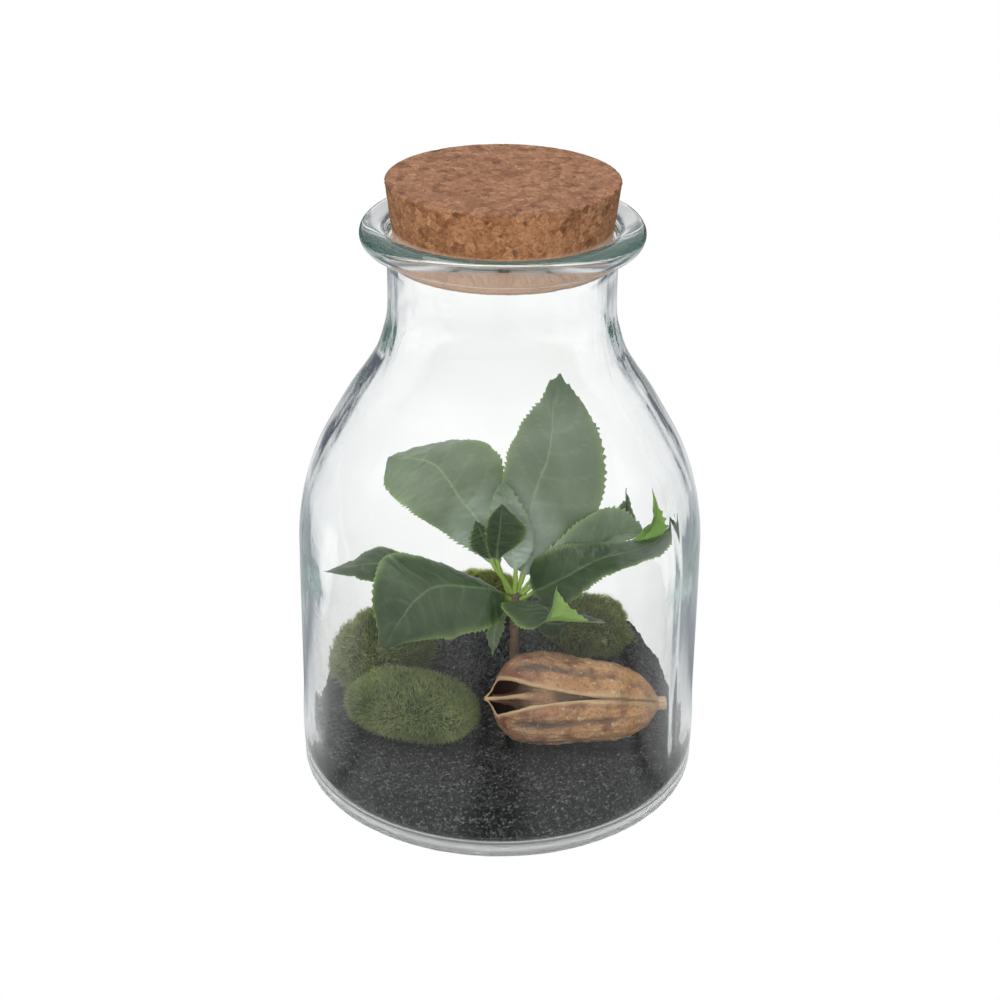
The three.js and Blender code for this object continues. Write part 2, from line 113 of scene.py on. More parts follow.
# node: height at which the petiole leaves the stem, or None for the stem's top.
# teeth, veins: how many on each side of the blade.
# spine: middle line after the base. left, right: reach to the edges at the blade's base, middle and tip.
# peak: fullest place. round, point: how the outline closes towards the base and the tip.
# petiole, stalk: the petiole's share of the length and its radius. upper: -1 for a blade turned over.
LEAVES = {
    "leaf_upright": {
        "node": None, "finish": "pale", "teeth": 46, "veins": 9,
        "spine": [(7.6, 5.5, 58.5), (9, 9.5, 73), (13.7, 14, 88.5), (16.3, 16.5, 107)],
        "left": [(-9.5, -1.5, 6), (-10, -1, 4), (-11, 0, 1)],
        "right": [(7, 2, -6), (16, 3.5, -12.2), (17, 6.5, -0.5)],
        "peak": 0.57, "round": 0.46, "point": 1.0, "petiole": 0.14, "stalk": 0.8,
    },
    "leaf_upper_left": {
        "node": 46.2, "finish": "pale", "teeth": 40, "veins": 8,
        "spine": [(-2, 6, 58), (-9, 7.5, 73), (-19, 9, 84.5), (-31, 9, 86.5)],
        "left": [(-12.5, -5, -0.5), (-10.5, -6, -6), (-5, -5.5, -10.5)],
        "right": [(13, 1, 6.5), (13, 6, 5), (9.5, 10, 0)],
        "peak": 0.62, "round": 0.71, "point": 0.53, "petiole": 0.2, "stalk": 0.7,
    },
    "leaf_back_left": {
        "node": 44.2, "finish": "dark", "teeth": 40, "veins": 8,
        "spine": [(-10.5, 8.5, 47.7), (-25, 10, 50), (-34, 6, 54.5), (-48.5, -2.5, 56.5)],
        "left": [(-2, -8, 0), (2, -7, -3), (5.5, -5.5, -5)],
        "right": [(1.5, 10.5, 2), (-2.5, 11, 2), (2, 10.5, -1)],
        "peak": 0.59, "round": 0.65, "point": 1.23, "petiole": 0.1, "stalk": 0.7,
    },
    "leaf_front_left": {
        "node": 45.6, "finish": "dark", "teeth": 37, "veins": 8,
        "spine": [(-3.5, -5, 53), (-17, -7.5, 55), (-23, -10.5, 52), (-31, -15, 41)],
        "left": [(2, -9, -11.5), (6.5, -7, -12), (11.5, -1.5, -5)],
        "right": [(-8, 10, -2), (-10, 9, 7.2), (-12.5, 1.5, 6)],
        "peak": 0.59, "round": 0.44, "point": 0.93, "petiole": 0.08, "stalk": 0.7,
    },
    "leaf_right_upper": {
        "node": 46.2, "finish": "pale", "teeth": 31, "veins": 8,
        "spine": [(12.5, 3.5, 53), (24.5, 8, 58.8), (34, 16, 61.2), (41.5, 18, 60.4)],
        "left": [(-3.5, 1, 8.5), (-2, 2.5, 9.2), (3, 5, 4)],
        "right": [(5, -6, -1.5), (2, -5, -1.5), (-1, -2, -1)],
        "peak": 0.55, "round": 0.63, "point": 0.77, "petiole": 0.1, "stalk": 0.7,
    },
    "leaf_right_young": {
        "node": 43.6, "finish": "young", "upper": -1, "teeth": 22, "veins": 7,
        "spine": [(17, 10, 49), (30.5, 11.5, 52.5), (39.6, 8, 61), (42, 7, 80)],
        "left": [(-3, 4, 5), (-2.5, -0.5, 5.5), (1.5, -6, 1.5)],
        "right": [(4, -5, -3.5), (6, -1.5, -0.5), (7, -2.5, -3)],
        "peak": 0.68, "round": 0.58, "point": 1.41, "petiole": 0.3, "stalk": 0.6,
    },
    "leaf_right_long": {
        "node": 45.2, "finish": "dark", "teeth": 43, "veins": 9,
        "spine": [(18, -4.5, 57), (27, -3, 62), (43, -1, 67), (49, -1.5, 76.5)],
        "left": [(-5, 8, 12.5), (0, 8, 1.5), (4, 7.5, -3.5)],
        "right": [(5, -9, -4.5), (2.5, -9.5, 0), (9, -8, 1.5)],
        "peak": 0.39, "round": 0.51, "point": 1.06, "petiole": 0.08, "stalk": 0.7,
    },
    "leaf_back_right": {
        "node": 45.2, "finish": "pale", "teeth": 31, "veins": 7,
        "spine": [(14, 18, 50.5), (27, 27, 53), (35, 28.5, 59.5), (36.5, 30, 69)],
        "left": [(-4.5, 3.5, 4.5), (-2.5, 0, 6), (0.5, -6, 3)],
        "right": [(3.5, -5, -3), (3, -5.5, -2), (5, -5, 0.5)],
        "peak": 0.58, "round": 0.61, "point": 1.36, "petiole": 0.12, "stalk": 0.6,
    },
    "leaf_front_folded": {
        "node": 43.4, "finish": "dark", "teeth": 28, "veins": 7,
        "spine": [(8.7, -6, 49.3), (14, -10, 48.8), (14, -15.5, 50), (15.3, -16, 60.5)],
        "left": [(12, 4, -5.2), (15, 1, -3), (13.5, -0.5, 1)],
        "right": [(-11, -2, 1), (-10.5, -5.5, 1), (3.5, -12.5, 1.5)],
        "peak": 0.48, "round": 0.63, "point": 1.68, "petiole": 0.12, "stalk": 0.6,
    },
    "leaf_low_right": {
        "node": 40.6, "finish": "dark", "teeth": 28, "veins": 6,
        "spine": [(9.2, 4, 40.5), (13.6, 3, 37.7), (17.5, 3, 37.2), (21.4, 3, 39.4)],
        "left": [(0, 2, 2), (0, 3, 3), (0, 2, 2)],
        "right": [(0, -1, -4), (0, -1, -4.5), (0, -0.5, -3)],
        "peak": 0.5, "round": 0.6, "point": 0.9, "petiole": 0.15, "stalk": 0.6,
    },
    "leaf_small_hanging": {
        "node": 41.4, "finish": "pale", "upper": -1, "teeth": 9, "veins": 4,
        "spine": [(0.2, -1.5, 42.2), (-1.6, -3.5, 38.5), (-2, -4, 31)],
        "left": [(-2, 0, -0.5), (-2.3, 0, 0), (-1.5, 0, 0)],
        "right": [(2, 0, 0.5), (2.4, 0, 0), (1.5, 0, 0)],
        "peak": 0.55, "round": 0.6, "point": 1.0, "petiole": 0.25, "stalk": 0.7,
    },
    "leaf_centre_front": {
        "node": None, "finish": "dark", "teeth": 19, "veins": 6,
        "spine": [(0, -0.5, 57), (-1, -3, 64.5), (-0.4, -5, 73), (0.2, -5.5, 80.5)],
        "left": [(-4, 0, 1), (-3.6, -1, 1.5), (-3, -1, 1)],
        "right": [(1, 0, -1), (7, -2, -1), (9, -1, -3)],
        "peak": 0.5, "round": 0.6, "point": 0.8, "petiole": 0.45, "stalk": 0.7,
    },
    "leaf_centre_back": {
        "node": None, "finish": "pale", "teeth": 19, "veins": 6,
        "spine": [(4.2, 1.5, 58), (2.4, 2.4, 68.5), (0.4, 2.5, 82.3)],
        "left": [(-4.5, 0, 1), (-5.5, 0, 1), (-5, 0, 0.5)],
        "right": [(3, 0, -1), (7, 0, -1.5), (6, 0, -0.5)],
        "peak": 0.5, "round": 0.6, "point": 0.6, "petiole": 0.3, "stalk": 0.7,
    },
    "leaf_centre_side": {
        "node": None, "finish": "dark", "teeth": 12, "veins": 5,
        "spine": [(-1.8, 2.2, 57), (-3.8, 1, 64), (-7, -0.7, 73)],
        "left": [(-3, 0, -1), (-3.4, 0, -1.5), (-2, 0, -1)],
        "right": [(3, 0, 1), (3.2, 0, 1.5), (2, 0, 1)],
        "peak": 0.5, "round": 0.6, "point": 1.0, "petiole": 0.52, "stalk": 0.6,
    },
}
LEAF_TONES = {
    "dark": {
        "upper": (0.024, 0.046, 0.015), "upper_light": (0.05, 0.085, 0.032), "vein": (0.13, 0.19, 0.09),
        "under": (0.22, 0.36, 0.08), "under_vein": (0.34, 0.46, 0.16), "gloss": 0.45,
    },
    # Lighter copy of the leaf colours: painted sheen and glass haze, plus a painted whitish highlight near
    # the crown.
    "pale": {
        "upper": (0.125, 0.17, 0.1), "upper_light": (0.185, 0.232, 0.145), "vein": (0.28, 0.36, 0.2),
        "under": (0.22, 0.36, 0.1), "under_vein": (0.34, 0.46, 0.16), "gloss": 0.5, "painted_sheen": 0.75,
    },
    "young": {
        "upper": (0.2, 0.38, 0.06), "upper_light": (0.28, 0.48, 0.09), "vein": (0.42, 0.56, 0.2),
        "under": (0.24, 0.42, 0.08), "under_vein": (0.36, 0.52, 0.16), "gloss": 0.5,
    },
}

# ---------- studio ----------
CAMERA_AT, CAMERA_LENS = (0, -481.24, 316.91), 71.73
CAMERA_PITCH, CAMERA_ROLL = math.radians(26.351), math.radians(0.591)
FLOOR_HALF, GLASS_BOUNCES = 4000.0, 64
# Places and sizes of the lamps are in metres. Only a mirrored lamp shows in the glass.
LAMPS = {
    "soft_box": {"at": (-0.25, 0.15, 1.5), "size": (1.4, 1.1), "power": 12.0, "mirrored": True},
    "front_fill": {"at": (-0.35, -1.6, 0.8), "size": (0.9, 0.9), "power": 16.0, "mirrored": False},
}


# ---------- small tools for shapes ----------
def seeded(seed):
    return np.random.default_rng(seed)


def unit(vectors):
    return vectors / np.maximum(np.linalg.norm(vectors, axis=-1, keepdims=True), 1e-9)


def ease(x, low, high):
    """0 below low, 1 above high and smooth between them."""
    share = np.clip((x - low) / (high - low), 0, 1)
    return share * share * (3 - 2 * share)


def ridge(x, width):
    """1 at zero, falling away smoothly over that width to either side."""
    return np.exp(-((x / width) ** 2))


def drift(points, wavelength, seed, octaves=3):
    """Soft random value from about -1 to 1 at each point, its largest swells one wavelength across."""
    source = seeded(seed)
    total = np.zeros(points.shape[:-1])
    weight = 0.6
    for _ in range(octaves):
        for _ in range(5):
            direction = unit(source.normal(size=3))
            phase = source.uniform(0, TAU)
            total += weight * 0.45 * np.sin(points @ direction * (TAU / wavelength) + phase)
        wavelength *= 0.5
        weight *= 0.55
    return total


def grains(points, size, seed):
    """How near each point is to the middle of its grain, 1 at most, and the grain's number from 0 to 1."""
    cell = np.floor(points / size).astype(np.int64)
    nearest = np.full(points.shape[:-1], 9.0)
    second = np.full(points.shape[:-1], 9.0)
    number = np.zeros(points.shape[:-1])
    for step in np.ndindex(3, 3, 3):
        other = cell + np.array(step) - 1
        mixed = (other[..., 0] * 73856093) ^ (other[..., 1] * 19349663) ^ (other[..., 2] * 83492791) ^ seed
        draws = []
        for turn in (1274126177, 668265263, 2246822519, 3266489917):
            mixed = ((mixed ^ (mixed >> 15)) * turn) & 0xFFFFFFFF
            draws.append((mixed & 0xFFFF) / 0xFFFF)
        middle = (other + np.stack(draws[:3], axis=-1)) * size
        distance = np.linalg.norm(points - middle, axis=-1) / size
        closer = distance < nearest
        second = np.where(closer, nearest, np.minimum(second, distance))
        number = np.where(closer, draws[3], number)
        nearest = np.where(closer, distance, nearest)
    return 1 - nearest / np.maximum(second, 1e-6), number


def with_ends(points):
    """The points, with one more before and after them for a smooth curve's first and last stretch."""
    given = np.asarray(points, float)
    return np.vstack([2 * given[0] - given[1], given, 2 * given[-1] - given[-2]])


def smooth_run(points, spacing):
    """Points about one spacing apart on a smooth curve through the given ones."""
    ends = with_ends(points)
    run = []
    for a, b, c, d in zip(ends, ends[1:], ends[2:], ends[3:]):
        count = max(1, int(np.linalg.norm(c - b) / spacing))
        s = (np.arange(count) / count)[:, None]
        square, cube = 2 * a - 5 * b + 4 * c - d, 3 * b - 3 * c + d - a
        run.append(0.5 * (2 * b + (c - a) * s + square * s**2 + cube * s**3))
    return np.vstack(run + [ends[-2:-1]])


def arc(centre, radius, start, end, steps):
    """Points of an arc in (radius, height), with angles in degrees from the outward direction."""
    angle = np.radians(np.linspace(start, end, steps + 1))
    return np.stack([centre[0] + radius * np.cos(angle), centre[1] + radius * np.sin(angle)], axis=-1)


def wall_radius(wall, height):
    """Radius of a wall table at the given heights."""
    table = smooth_run(wall, 0.5)
    return np.interp(height, table[:, 1], table[:, 0])


def round_angles(columns):
    """Even angles all the way round, as one row."""
    return np.linspace(0, TAU, columns, endpoint=False)[None, :]


def turned(radius, height, angle):
    """Points at those radii, heights and angles round an upright axis."""
    radius, height, angle = np.broadcast_arrays(radius, height, angle)
    return np.stack([radius * np.cos(angle), radius * np.sin(angle), height], axis=-1)


def upright_spin(degrees):
    """Matrix that turns points about an upright axis."""
    turn = math.radians(degrees)
    return np.array([[math.cos(turn), -math.sin(turn), 0], [math.sin(turn), math.cos(turn), 0], [0, 0, 1]])


def grid_quads(rows, columns, closed=True):
    """Quads between the rows of a grid of points; closed joins the last column to the first."""
    row = np.arange(rows - 1)[:, None] * columns
    column = np.arange(columns if closed else columns - 1)[None, :]
    a = row + column
    b = row + (column + 1) % columns
    return np.stack([a, b, b + columns, a + columns], axis=-1).reshape(-1, 4)


def outward(points, faces):
    """The faces of a closed solid, turned round if they point into it."""
    volume = 0.0
    for face in faces:
        corners = points[face]
        for second in range(1, face.shape[1] - 1):
            a, b, c = corners[:, 0], corners[:, second], corners[:, second + 1]
            volume += np.einsum("ij,ij->i", a, np.cross(b, c)).sum()
    return faces if volume > 0 else [face[:, ::-1] for face in faces]


def close_ends(rings, start, end):
    """Points and faces of a closed solid made of rings (rows, columns, 3) and a point at either end."""
    rows, columns = rings.shape[:2]
    points = np.vstack([rings.reshape(-1, 3), [start], [end]])
    j = np.arange(columns)
    k = (j + 1) % columns
    last = (rows - 1) * columns
    first_fan = np.stack([np.full(columns, rows * columns), k, j], axis=-1)
    last_fan = np.stack([np.full(columns, rows * columns + 1), last + j, last + k], axis=-1)
    return points, outward(points, [grid_quads(rows, columns), first_fan, last_fan])


def make_mesh(name, points, faces, marks=None):
    """Smooth mesh of points in millimetres; marks are named four-value numbers at each point."""
    mesh = bpy.data.meshes.new(name)
    corners = np.concatenate([face.ravel() for face in faces]).astype(np.int32)
    counts = np.concatenate([np.full(len(face), face.shape[1]) for face in faces])
    mesh.vertices.add(len(points))
    mesh.vertices.foreach_set("co", (np.asarray(points) * MM).astype(np.float32).ravel())
    mesh.loops.add(len(corners))
    mesh.loops.foreach_set("vertex_index", corners)
    mesh.polygons.add(len(counts))
    mesh.polygons.foreach_set("loop_start", (np.cumsum(counts) - counts).astype(np.int32))
    mesh.update(calc_edges=True)
    mesh.validate()
    mesh.shade_smooth()
    for mark, values in (marks or {}).items():
        layer = mesh.attributes.new(mark, "FLOAT_COLOR", "POINT")
        layer.data.foreach_set("color", np.asarray(values, np.float32).ravel())
    return mesh


def place(name, shape, finish, node=None):
    """Puts a shape (points, faces and marks) into the bottle as a piece, standing for the given node."""
    piece = bpy.data.objects.new(name, make_mesh(name, *shape))
    bpy.context.scene.collection.objects.link(piece)
    piece.data.materials.append(finish)
    if node:
        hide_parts(node)
    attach(piece, BODY)


# ---------- small tools for finishes ----------
class Bench:
    """Adds and joins the nodes of one finish or one shared group."""

    def __init__(self, tree):
        self.tree = tree

    def add(self, kind, inputs=None, **settings):
        node = self.tree.nodes.new(kind)
        for key, value in settings.items():
            setattr(node, key, value)
        for key, value in (inputs or {}).items():
            self.feed(node.inputs[key], value)
        return node

    def feed(self, socket, value):
        """Links a socket to a value that changes, or sets it to a plain number or colour."""
        if isinstance(value, bpy.types.NodeSocket):
            self.tree.links.new(value, socket)
        else:
            socket.default_value = (*value, 1) if socket.type == "RGBA" else value

    def math(self, operation, a, b=0.0, c=0.0):
        return self.add("ShaderNodeMath", {0: a, 1: b, 2: c}, operation=operation).outputs[0]

    def times(self, a, b):
        return self.math("MULTIPLY", a, b)

    def vector(self, operation, a, b):
        return self.add("ShaderNodeVectorMath", {0: a, 1: b}, operation=operation).outputs

    def blend(self, factor, a, b, kind="MIX"):
        node = self.add("ShaderNodeMix", data_type="RGBA", blend_type=kind)
        self.feed(node.inputs["Factor"], factor)
        self.feed(node.inputs[6], a)
        self.feed(node.inputs[7], b)
        return node.outputs[2]

    def spread(self, value, low, high, to_low=0.0, to_high=1.0):
        node = self.add("ShaderNodeMapRange", {"Value": value, 1: low, 2: high, 3: to_low, 4: to_high})
        return node.outputs[0]

    def place_at(self, kind="Object"):
        return self.add("ShaderNodeTexCoord").outputs[kind]

    def axes(self, kind="Object"):
        return self.add("ShaderNodeSeparateXYZ", {0: self.place_at(kind)}).outputs

    def mark(self, name):
        """The four numbers that a mesh carries under that name."""
        node = self.add("ShaderNodeAttribute", attribute_name=name, attribute_type="GEOMETRY")
        parts = self.add("ShaderNodeSeparateColor", {"Color": node.outputs["Color"]})
        return [*parts.outputs, node.outputs["Alpha"]]


def shared_group(name, inputs, outputs):
    """Empty node group with its number sockets, and its bench, inlet and outlet."""
    tree = bpy.data.node_groups.new(name, "ShaderNodeTree")
    for key, value in inputs.items():
        socket = tree.interface.new_socket(name=key, in_out="INPUT", socket_type="NodeSocketFloat")
        socket.default_value = value
    for key in outputs:
        tree.interface.new_socket(name=key, in_out="OUTPUT", socket_type="NodeSocketFloat")
    bench = Bench(tree)
    return tree, bench, bench.add("NodeGroupInput").outputs, bench.add("NodeGroupOutput").inputs


def mottle_group():
    """Uneven natural tone: broad patches and fine flecks, from 0 to 1."""
    tree, bench, given, result = shared_group(
        "natural_mottle", {"Patch Size": 0.01, "Fleck Size": 0.001}, ["Patches", "Flecks"])
    place_at = bench.place_at()
    for size, output, detail in (("Patch Size", "Patches", 4.0), ("Fleck Size", "Flecks", 2.0)):
        scale = bench.math("DIVIDE", 1.0, given[size])
        noise = bench.add("ShaderNodeTexNoise", {"Vector": place_at, "Scale": scale, "Detail": detail})
        bench.feed(result[output], bench.spread(noise.outputs["Fac"], 0.3, 0.7))
    return tree


def granule_group():
    """Packed granules: a number for each granule, how dark its edge is and its height."""
    tree, bench, given, result = shared_group(
        "packed_granules", {"Granule Size": 0.001, "Edge Width": 0.1}, ["Granule", "Edge", "Height"])
    place_at = bench.place_at()
    size = given["Granule Size"]
    scale = bench.math("DIVIDE", 1.0, size)
    bend = bench.add("ShaderNodeTexNoise", {"Vector": place_at, "Scale": scale, "Detail": 2.0})
    offset = bench.vector("SUBTRACT", bend.outputs["Color"], (0.5, 0.5, 0.5))[0]
    shift = bench.add("ShaderNodeVectorMath", {0: offset, "Scale": size}, operation="SCALE")
    cell = {"Vector": bench.vector("ADD", place_at, shift.outputs[0])[0], "Scale": scale}
    cells = bench.add("ShaderNodeTexVoronoi", cell)
    edges = bench.add("ShaderNodeTexVoronoi", cell, feature="DISTANCE_TO_EDGE")
    number = bench.add("ShaderNodeSeparateColor", {"Color": cells.outputs["Color"]})
    bench.feed(result["Granule"], number.outputs[0])
    near_edge = bench.math("DIVIDE", edges.outputs["Distance"], given["Edge Width"])
    near_edge = bench.math("MINIMUM", near_edge, 1.0)
    bench.feed(result["Edge"], bench.math("SUBTRACT", 1.0, near_edge))
    bench.feed(result["Height"], bench.times(near_edge, number.outputs[1]))
    return tree


NATURAL_MOTTLE = mottle_group()
PACKED_GRANULES = granule_group()


def mottle(bench, patch_size, fleck_size):
    """Patches and flecks of those sizes in millimetres."""
    sizes = {"Patch Size": patch_size * MM, "Fleck Size": fleck_size * MM}
    return bench.add("ShaderNodeGroup", sizes, node_tree=NATURAL_MOTTLE).outputs


def granules(bench, size, edge_width):
    """Number, edge and height of packed granules of that size in millimetres."""
    sizes = {"Granule Size": size * MM, "Edge Width": edge_width}
    return bench.add("ShaderNodeGroup", sizes, node_tree=PACKED_GRANULES).outputs


def new_finish(name):
    """Empty material with its bench, its Principled shader and its output."""
    finish = bpy.data.materials.new(name)
    finish.use_nodes = True
    finish.node_tree.nodes.clear()
    bench = Bench(finish.node_tree)
    surface = bench.add("ShaderNodeBsdfPrincipled")
    output = bench.add("ShaderNodeOutputMaterial", {"Surface": surface.outputs[0]})
    return finish, bench, surface.inputs, output.inputs


def bump(bench, surface, height, depth, strength):
    """Fine relief of that depth in millimetres."""
    node = bench.add("ShaderNodeBump", {"Height": height, "Distance": depth * MM, "Strength": strength})
    bench.feed(surface["Normal"], node.outputs["Normal"])


def ramp(bench, value, stops):
    """Colour along a ramp with (position, colour) stops."""
    node = bench.add("ShaderNodeValToRGB", {"Fac": value})
    elements = node.color_ramp.elements
    while len(elements) < len(stops):
        elements.new(0.5)
    for element, (position, colour) in zip(elements, stops):
        element.position = position
        element.color = (*colour, 1)
    return node.outputs["Color"]


def grey(tone):
    return (tone, tone, tone)


def clear_glass():
    """Faintly green glass, matt under its foot; shadows and soft light pass it as if it were clear."""
    finish, bench, surface, output = new_finish("clear_glass")
    for key, value in {"Base Color": grey(1), "IOR": 1.5, "Transmission Weight": 1.0}.items():
        bench.feed(surface[key], value)
    bump(bench, surface, mottle(bench, 18, 4)["Patches"], 0.12, 0.35)
    bench.feed(surface["Roughness"], bench.spread(bench.axes()["Z"], 1.5 * MM, 1.9 * MM, 0.5, 0.0))
    light = bench.add("ShaderNodeLightPath").outputs
    passes = bench.math("MAXIMUM", light["Is Shadow Ray"], light["Is Diffuse Ray"])
    clear = bench.add("ShaderNodeBsdfTransparent", {"Color": (0.96, 0.98, 0.97)})
    glass = output["Surface"].links[0].from_socket
    mix = bench.add("ShaderNodeMixShader", {0: passes, 1: glass, 2: clear.outputs[0]})
    bench.feed(output["Surface"], mix.outputs[0])
    tint = bench.add("ShaderNodeVolumeAbsorption", {"Color": (0.78, 0.87, 0.84), "Density": 24.0})
    bench.feed(output["Volume"], tint.outputs[0])
    return finish


def pressed_cork():
    """Coarse and fine granules with torn-out hollows, painted paler where they sit inside the neck, with
    painted shade on the top.
    """
    finish, bench, surface, _ = new_finish("pressed_cork")
    coarse, fine = granules(bench, 2.2, 0.12), granules(bench, 0.8, 0.2)
    tones = mottle(bench, 6, 0.7)
    tone = bench.math("MULTIPLY_ADD", coarse["Granule"], 0.5, bench.times(fine["Granule"], 0.3))
    tone = bench.math("MULTIPLY_ADD", tones["Patches"], 0.2, tone)
    colour = ramp(bench, tone, [
        (0.0, (0.11, 0.042, 0.016)), (0.25, (0.25, 0.105, 0.045)), (0.5, (0.36, 0.165, 0.077)),
        (0.75, (0.43, 0.21, 0.1)), (1.0, (0.55, 0.3, 0.155)),
    ])
    edge = bench.times(coarse["Edge"], bench.spread(tones["Patches"], 0.2, 0.9, 0.1, 0.7))
    colour = bench.blend(edge, colour, (0.16, 0.07, 0.03))
    colour = bench.blend(bench.mark("cork_marks")[0], colour, (0.07, 0.03, 0.015))
    flecks = bench.times(bench.spread(tones["Flecks"], 0.62, 0.8), 0.5)
    colour = bench.blend(flecks, colour, (0.18, 0.08, 0.035))
    level = bench.axes()["Z"]
    # Painted light: the cork inside the neck is made paler and pinker, standing in for light through the
    # glass.
    painted_neck_light = bench.spread(level, (CORK_BOTTOM + 8) * MM, (CORK_BOTTOM + 9.5) * MM, 0.85, 0.0)
    colour = bench.blend(painted_neck_light, colour, (0.58, 0.38, 0.29))
    # Painted shade: the top face and its rounded edge are dimmed and cooled.
    top = bench.spread(level, (CORK_TOP - 0.7) * MM, (CORK_TOP - 0.35) * MM)
    colour = bench.blend(top, colour, (0.72, 0.74, 0.84), "MULTIPLY")
    bench.feed(surface["Base Color"], colour)
    bench.feed(surface["Roughness"], bench.spread(fine["Granule"], 0, 1, 0.7, 0.95))
    bench.feed(surface["Specular IOR Level"], 0.25)
    bump(bench, surface, bench.math("MULTIPLY_ADD", fine["Height"], 0.5, coarse["Height"]), 0.25, 0.6)
    return finish


def dark_sand():
    """Near-black grains with a few pale ones among them."""
    finish, bench, surface, _ = new_finish("dark_sand")
    grain = granules(bench, 0.6, 0.2)
    tones = mottle(bench, 12, 0.4)
    stops = [(0.0, 0.004), (0.32, 0.01), (0.52, 0.034), (0.71, 0.075), (0.88, 0.128), (1.0, 0.2)]
    colour = ramp(bench, grain["Granule"], [(position, grey(tone)) for position, tone in stops])
    colour = bench.blend(bench.times(grain["Edge"], 0.75), colour, grey(0.004))
    colour = bench.blend(bench.times(tones["Patches"], 0.15), colour, grey(0.02))
    bench.feed(surface["Base Color"], colour)
    bench.feed(surface["Roughness"], bench.spread(grain["Granule"], 0, 1, 0.5, 0.9))
    bump(bench, surface, bench.math("MULTIPLY_ADD", tones["Flecks"], 0.3, grain["Height"]), 0.25, 0.8)
    return finish


def moss_fibre(name, dark, middle, bright):
    """Moss that is dark at its roots and bright at the tips of its fibres."""
    finish, bench, surface, _ = new_finish(name)
    height, number, patch, _ = bench.mark("fibre_marks")
    tones = mottle(bench, 5, 0.6)
    tone = bench.math("MULTIPLY_ADD", number, 0.35, bench.times(height, 0.5))
    tone = bench.math("MULTIPLY_ADD", patch, 0.2, tone)
    tone = bench.math("MULTIPLY_ADD", tones["Patches"], 0.15, tone)
    bench.feed(surface["Base Color"], ramp(bench, tone, [(0.05, dark), (0.55, middle), (1.0, bright)]))
    bench.feed(surface["Roughness"], bench.spread(tones["Flecks"], 0, 1, 0.75, 0.95))
    bench.feed(surface["Specular IOR Level"], 0.2)
    bench.feed(surface["Sheen Weight"], 0.15)
    return finish


def leaf_tissue(name, upper, upper_light, vein, under, under_vein, gloss, painted_sheen=0.0):
    """Waxy leaf: upper side, underside, veins, thin pale margin, petiole and a painted whitish sheen near the
    crown.
    """
    finish, bench, surface, _ = new_finish(name)
    veins, margin, is_upper, petiole = bench.mark("leaf_marks")
    tones = mottle(bench, 9, 0.7)
    patches, flecks = tones["Patches"], tones["Flecks"]
    top = bench.blend(patches, upper, upper_light)
    top = bench.blend(bench.times(flecks, 0.25), top, tuple(0.6 * c for c in upper))
    top = bench.blend(veins, top, vein)
    # Painted highlight: a whitish sheen on the leaves round the crown, fading with distance from it.
    from_crown = bench.vector("DISTANCE", bench.place_at(), tuple(c * MM for c in CROWN))["Value"]
    crown_sheen = bench.spread(from_crown, 6 * MM, 19 * MM, painted_sheen, 0.0)
    crown_sheen = bench.times(crown_sheen, bench.spread(patches, 0, 1, 0.5, 1.0))
    top = bench.blend(crown_sheen, top, (0.55, 0.62, 0.57))
    below = bench.blend(bench.times(patches, 0.5), under, tuple(0.7 * c for c in under))
    below = bench.blend(bench.times(veins, 0.8), below, under_vein)
    colour = bench.blend(is_upper, below, top)
    colour = bench.blend(bench.times(margin, 0.75), colour, tuple(0.85 * c for c in under_vein))
    bench.feed(surface["Base Color"], bench.blend(petiole, colour, (0.36, 0.5, 0.1)))
    dull = bench.math("SUBTRACT", 1.0, bench.times(is_upper, 1.0 - gloss))
    bench.feed(surface["Roughness"], bench.math("MULTIPLY_ADD", flecks, 0.12, bench.times(dull, 0.62)))
    bump(bench, surface, bench.math("MULTIPLY_ADD", flecks, 0.35, bench.times(patches, 0.8)), 0.12, 0.5)
    return finish


def dry_husk():
    """Dry brown husk with stains, pale scuffs, dark grooves, pale rims and painted shade inside."""
    finish, bench, surface, _ = new_finish("dry_husk")
    groove, rim, inside, along = bench.mark("husk_marks")
    tones, stains = mottle(bench, 7, 0.6), mottle(bench, 4.5, 1.6)
    colour = bench.blend(along, (0.2, 0.08, 0.055), (0.44, 0.215, 0.085))
    for share, over in (
        (bench.times(tones["Patches"], 0.7), (0.5, 0.3, 0.165)),
        (bench.times(bench.spread(stains["Patches"], 0.5, 0.95), 0.75), (0.13, 0.045, 0.028)),
        (bench.times(groove, 0.8), (0.075, 0.062, 0.06)),
        (bench.times(bench.spread(stains["Flecks"], 0.8, 1.0), 0.5), (0.6, 0.46, 0.34)),
        (bench.times(bench.spread(tones["Flecks"], 0.55, 0.95), 0.5), (0.1, 0.04, 0.02)),
        (bench.times(rim, 0.8), (0.52, 0.35, 0.2)),
        # Painted shade: darkens the insides of the valves, the core deep in the hollow and the back of the
        # septum.
        (inside, (0.11, 0.055, 0.04)),
    ):
        colour = bench.blend(share, colour, over)
    bench.feed(surface["Base Color"], colour)
    bench.feed(surface["Roughness"], bench.spread(tones["Patches"], 0, 1, 0.55, 0.85))
    bench.feed(surface["Specular IOR Level"], 0.35)
    bump(bench, surface, bench.math("MULTIPLY_ADD", tones["Flecks"], 0.5, tones["Patches"]), 0.2, 0.6)
    return finish


def thin_bark():
    """Grey-brown bark with paler flecks."""
    finish, bench, surface, _ = new_finish("thin_bark")
    tones = mottle(bench, 4, 0.6)
    colour = ramp(bench, tones["Patches"], [
        (0.0, (0.09, 0.06, 0.045)), (0.5, (0.2, 0.13, 0.09)), (1.0, (0.3, 0.14, 0.1)),
    ])
    colour = bench.blend(bench.times(tones["Flecks"], 0.4), colour, (0.28, 0.24, 0.18))
    bench.feed(surface["Base Color"], colour)
    bench.feed(surface["Roughness"], bench.spread(tones["Flecks"], 0, 1, 0.45, 0.75))
    bump(bench, surface, tones["Flecks"], 0.2, 0.7)
    return finish


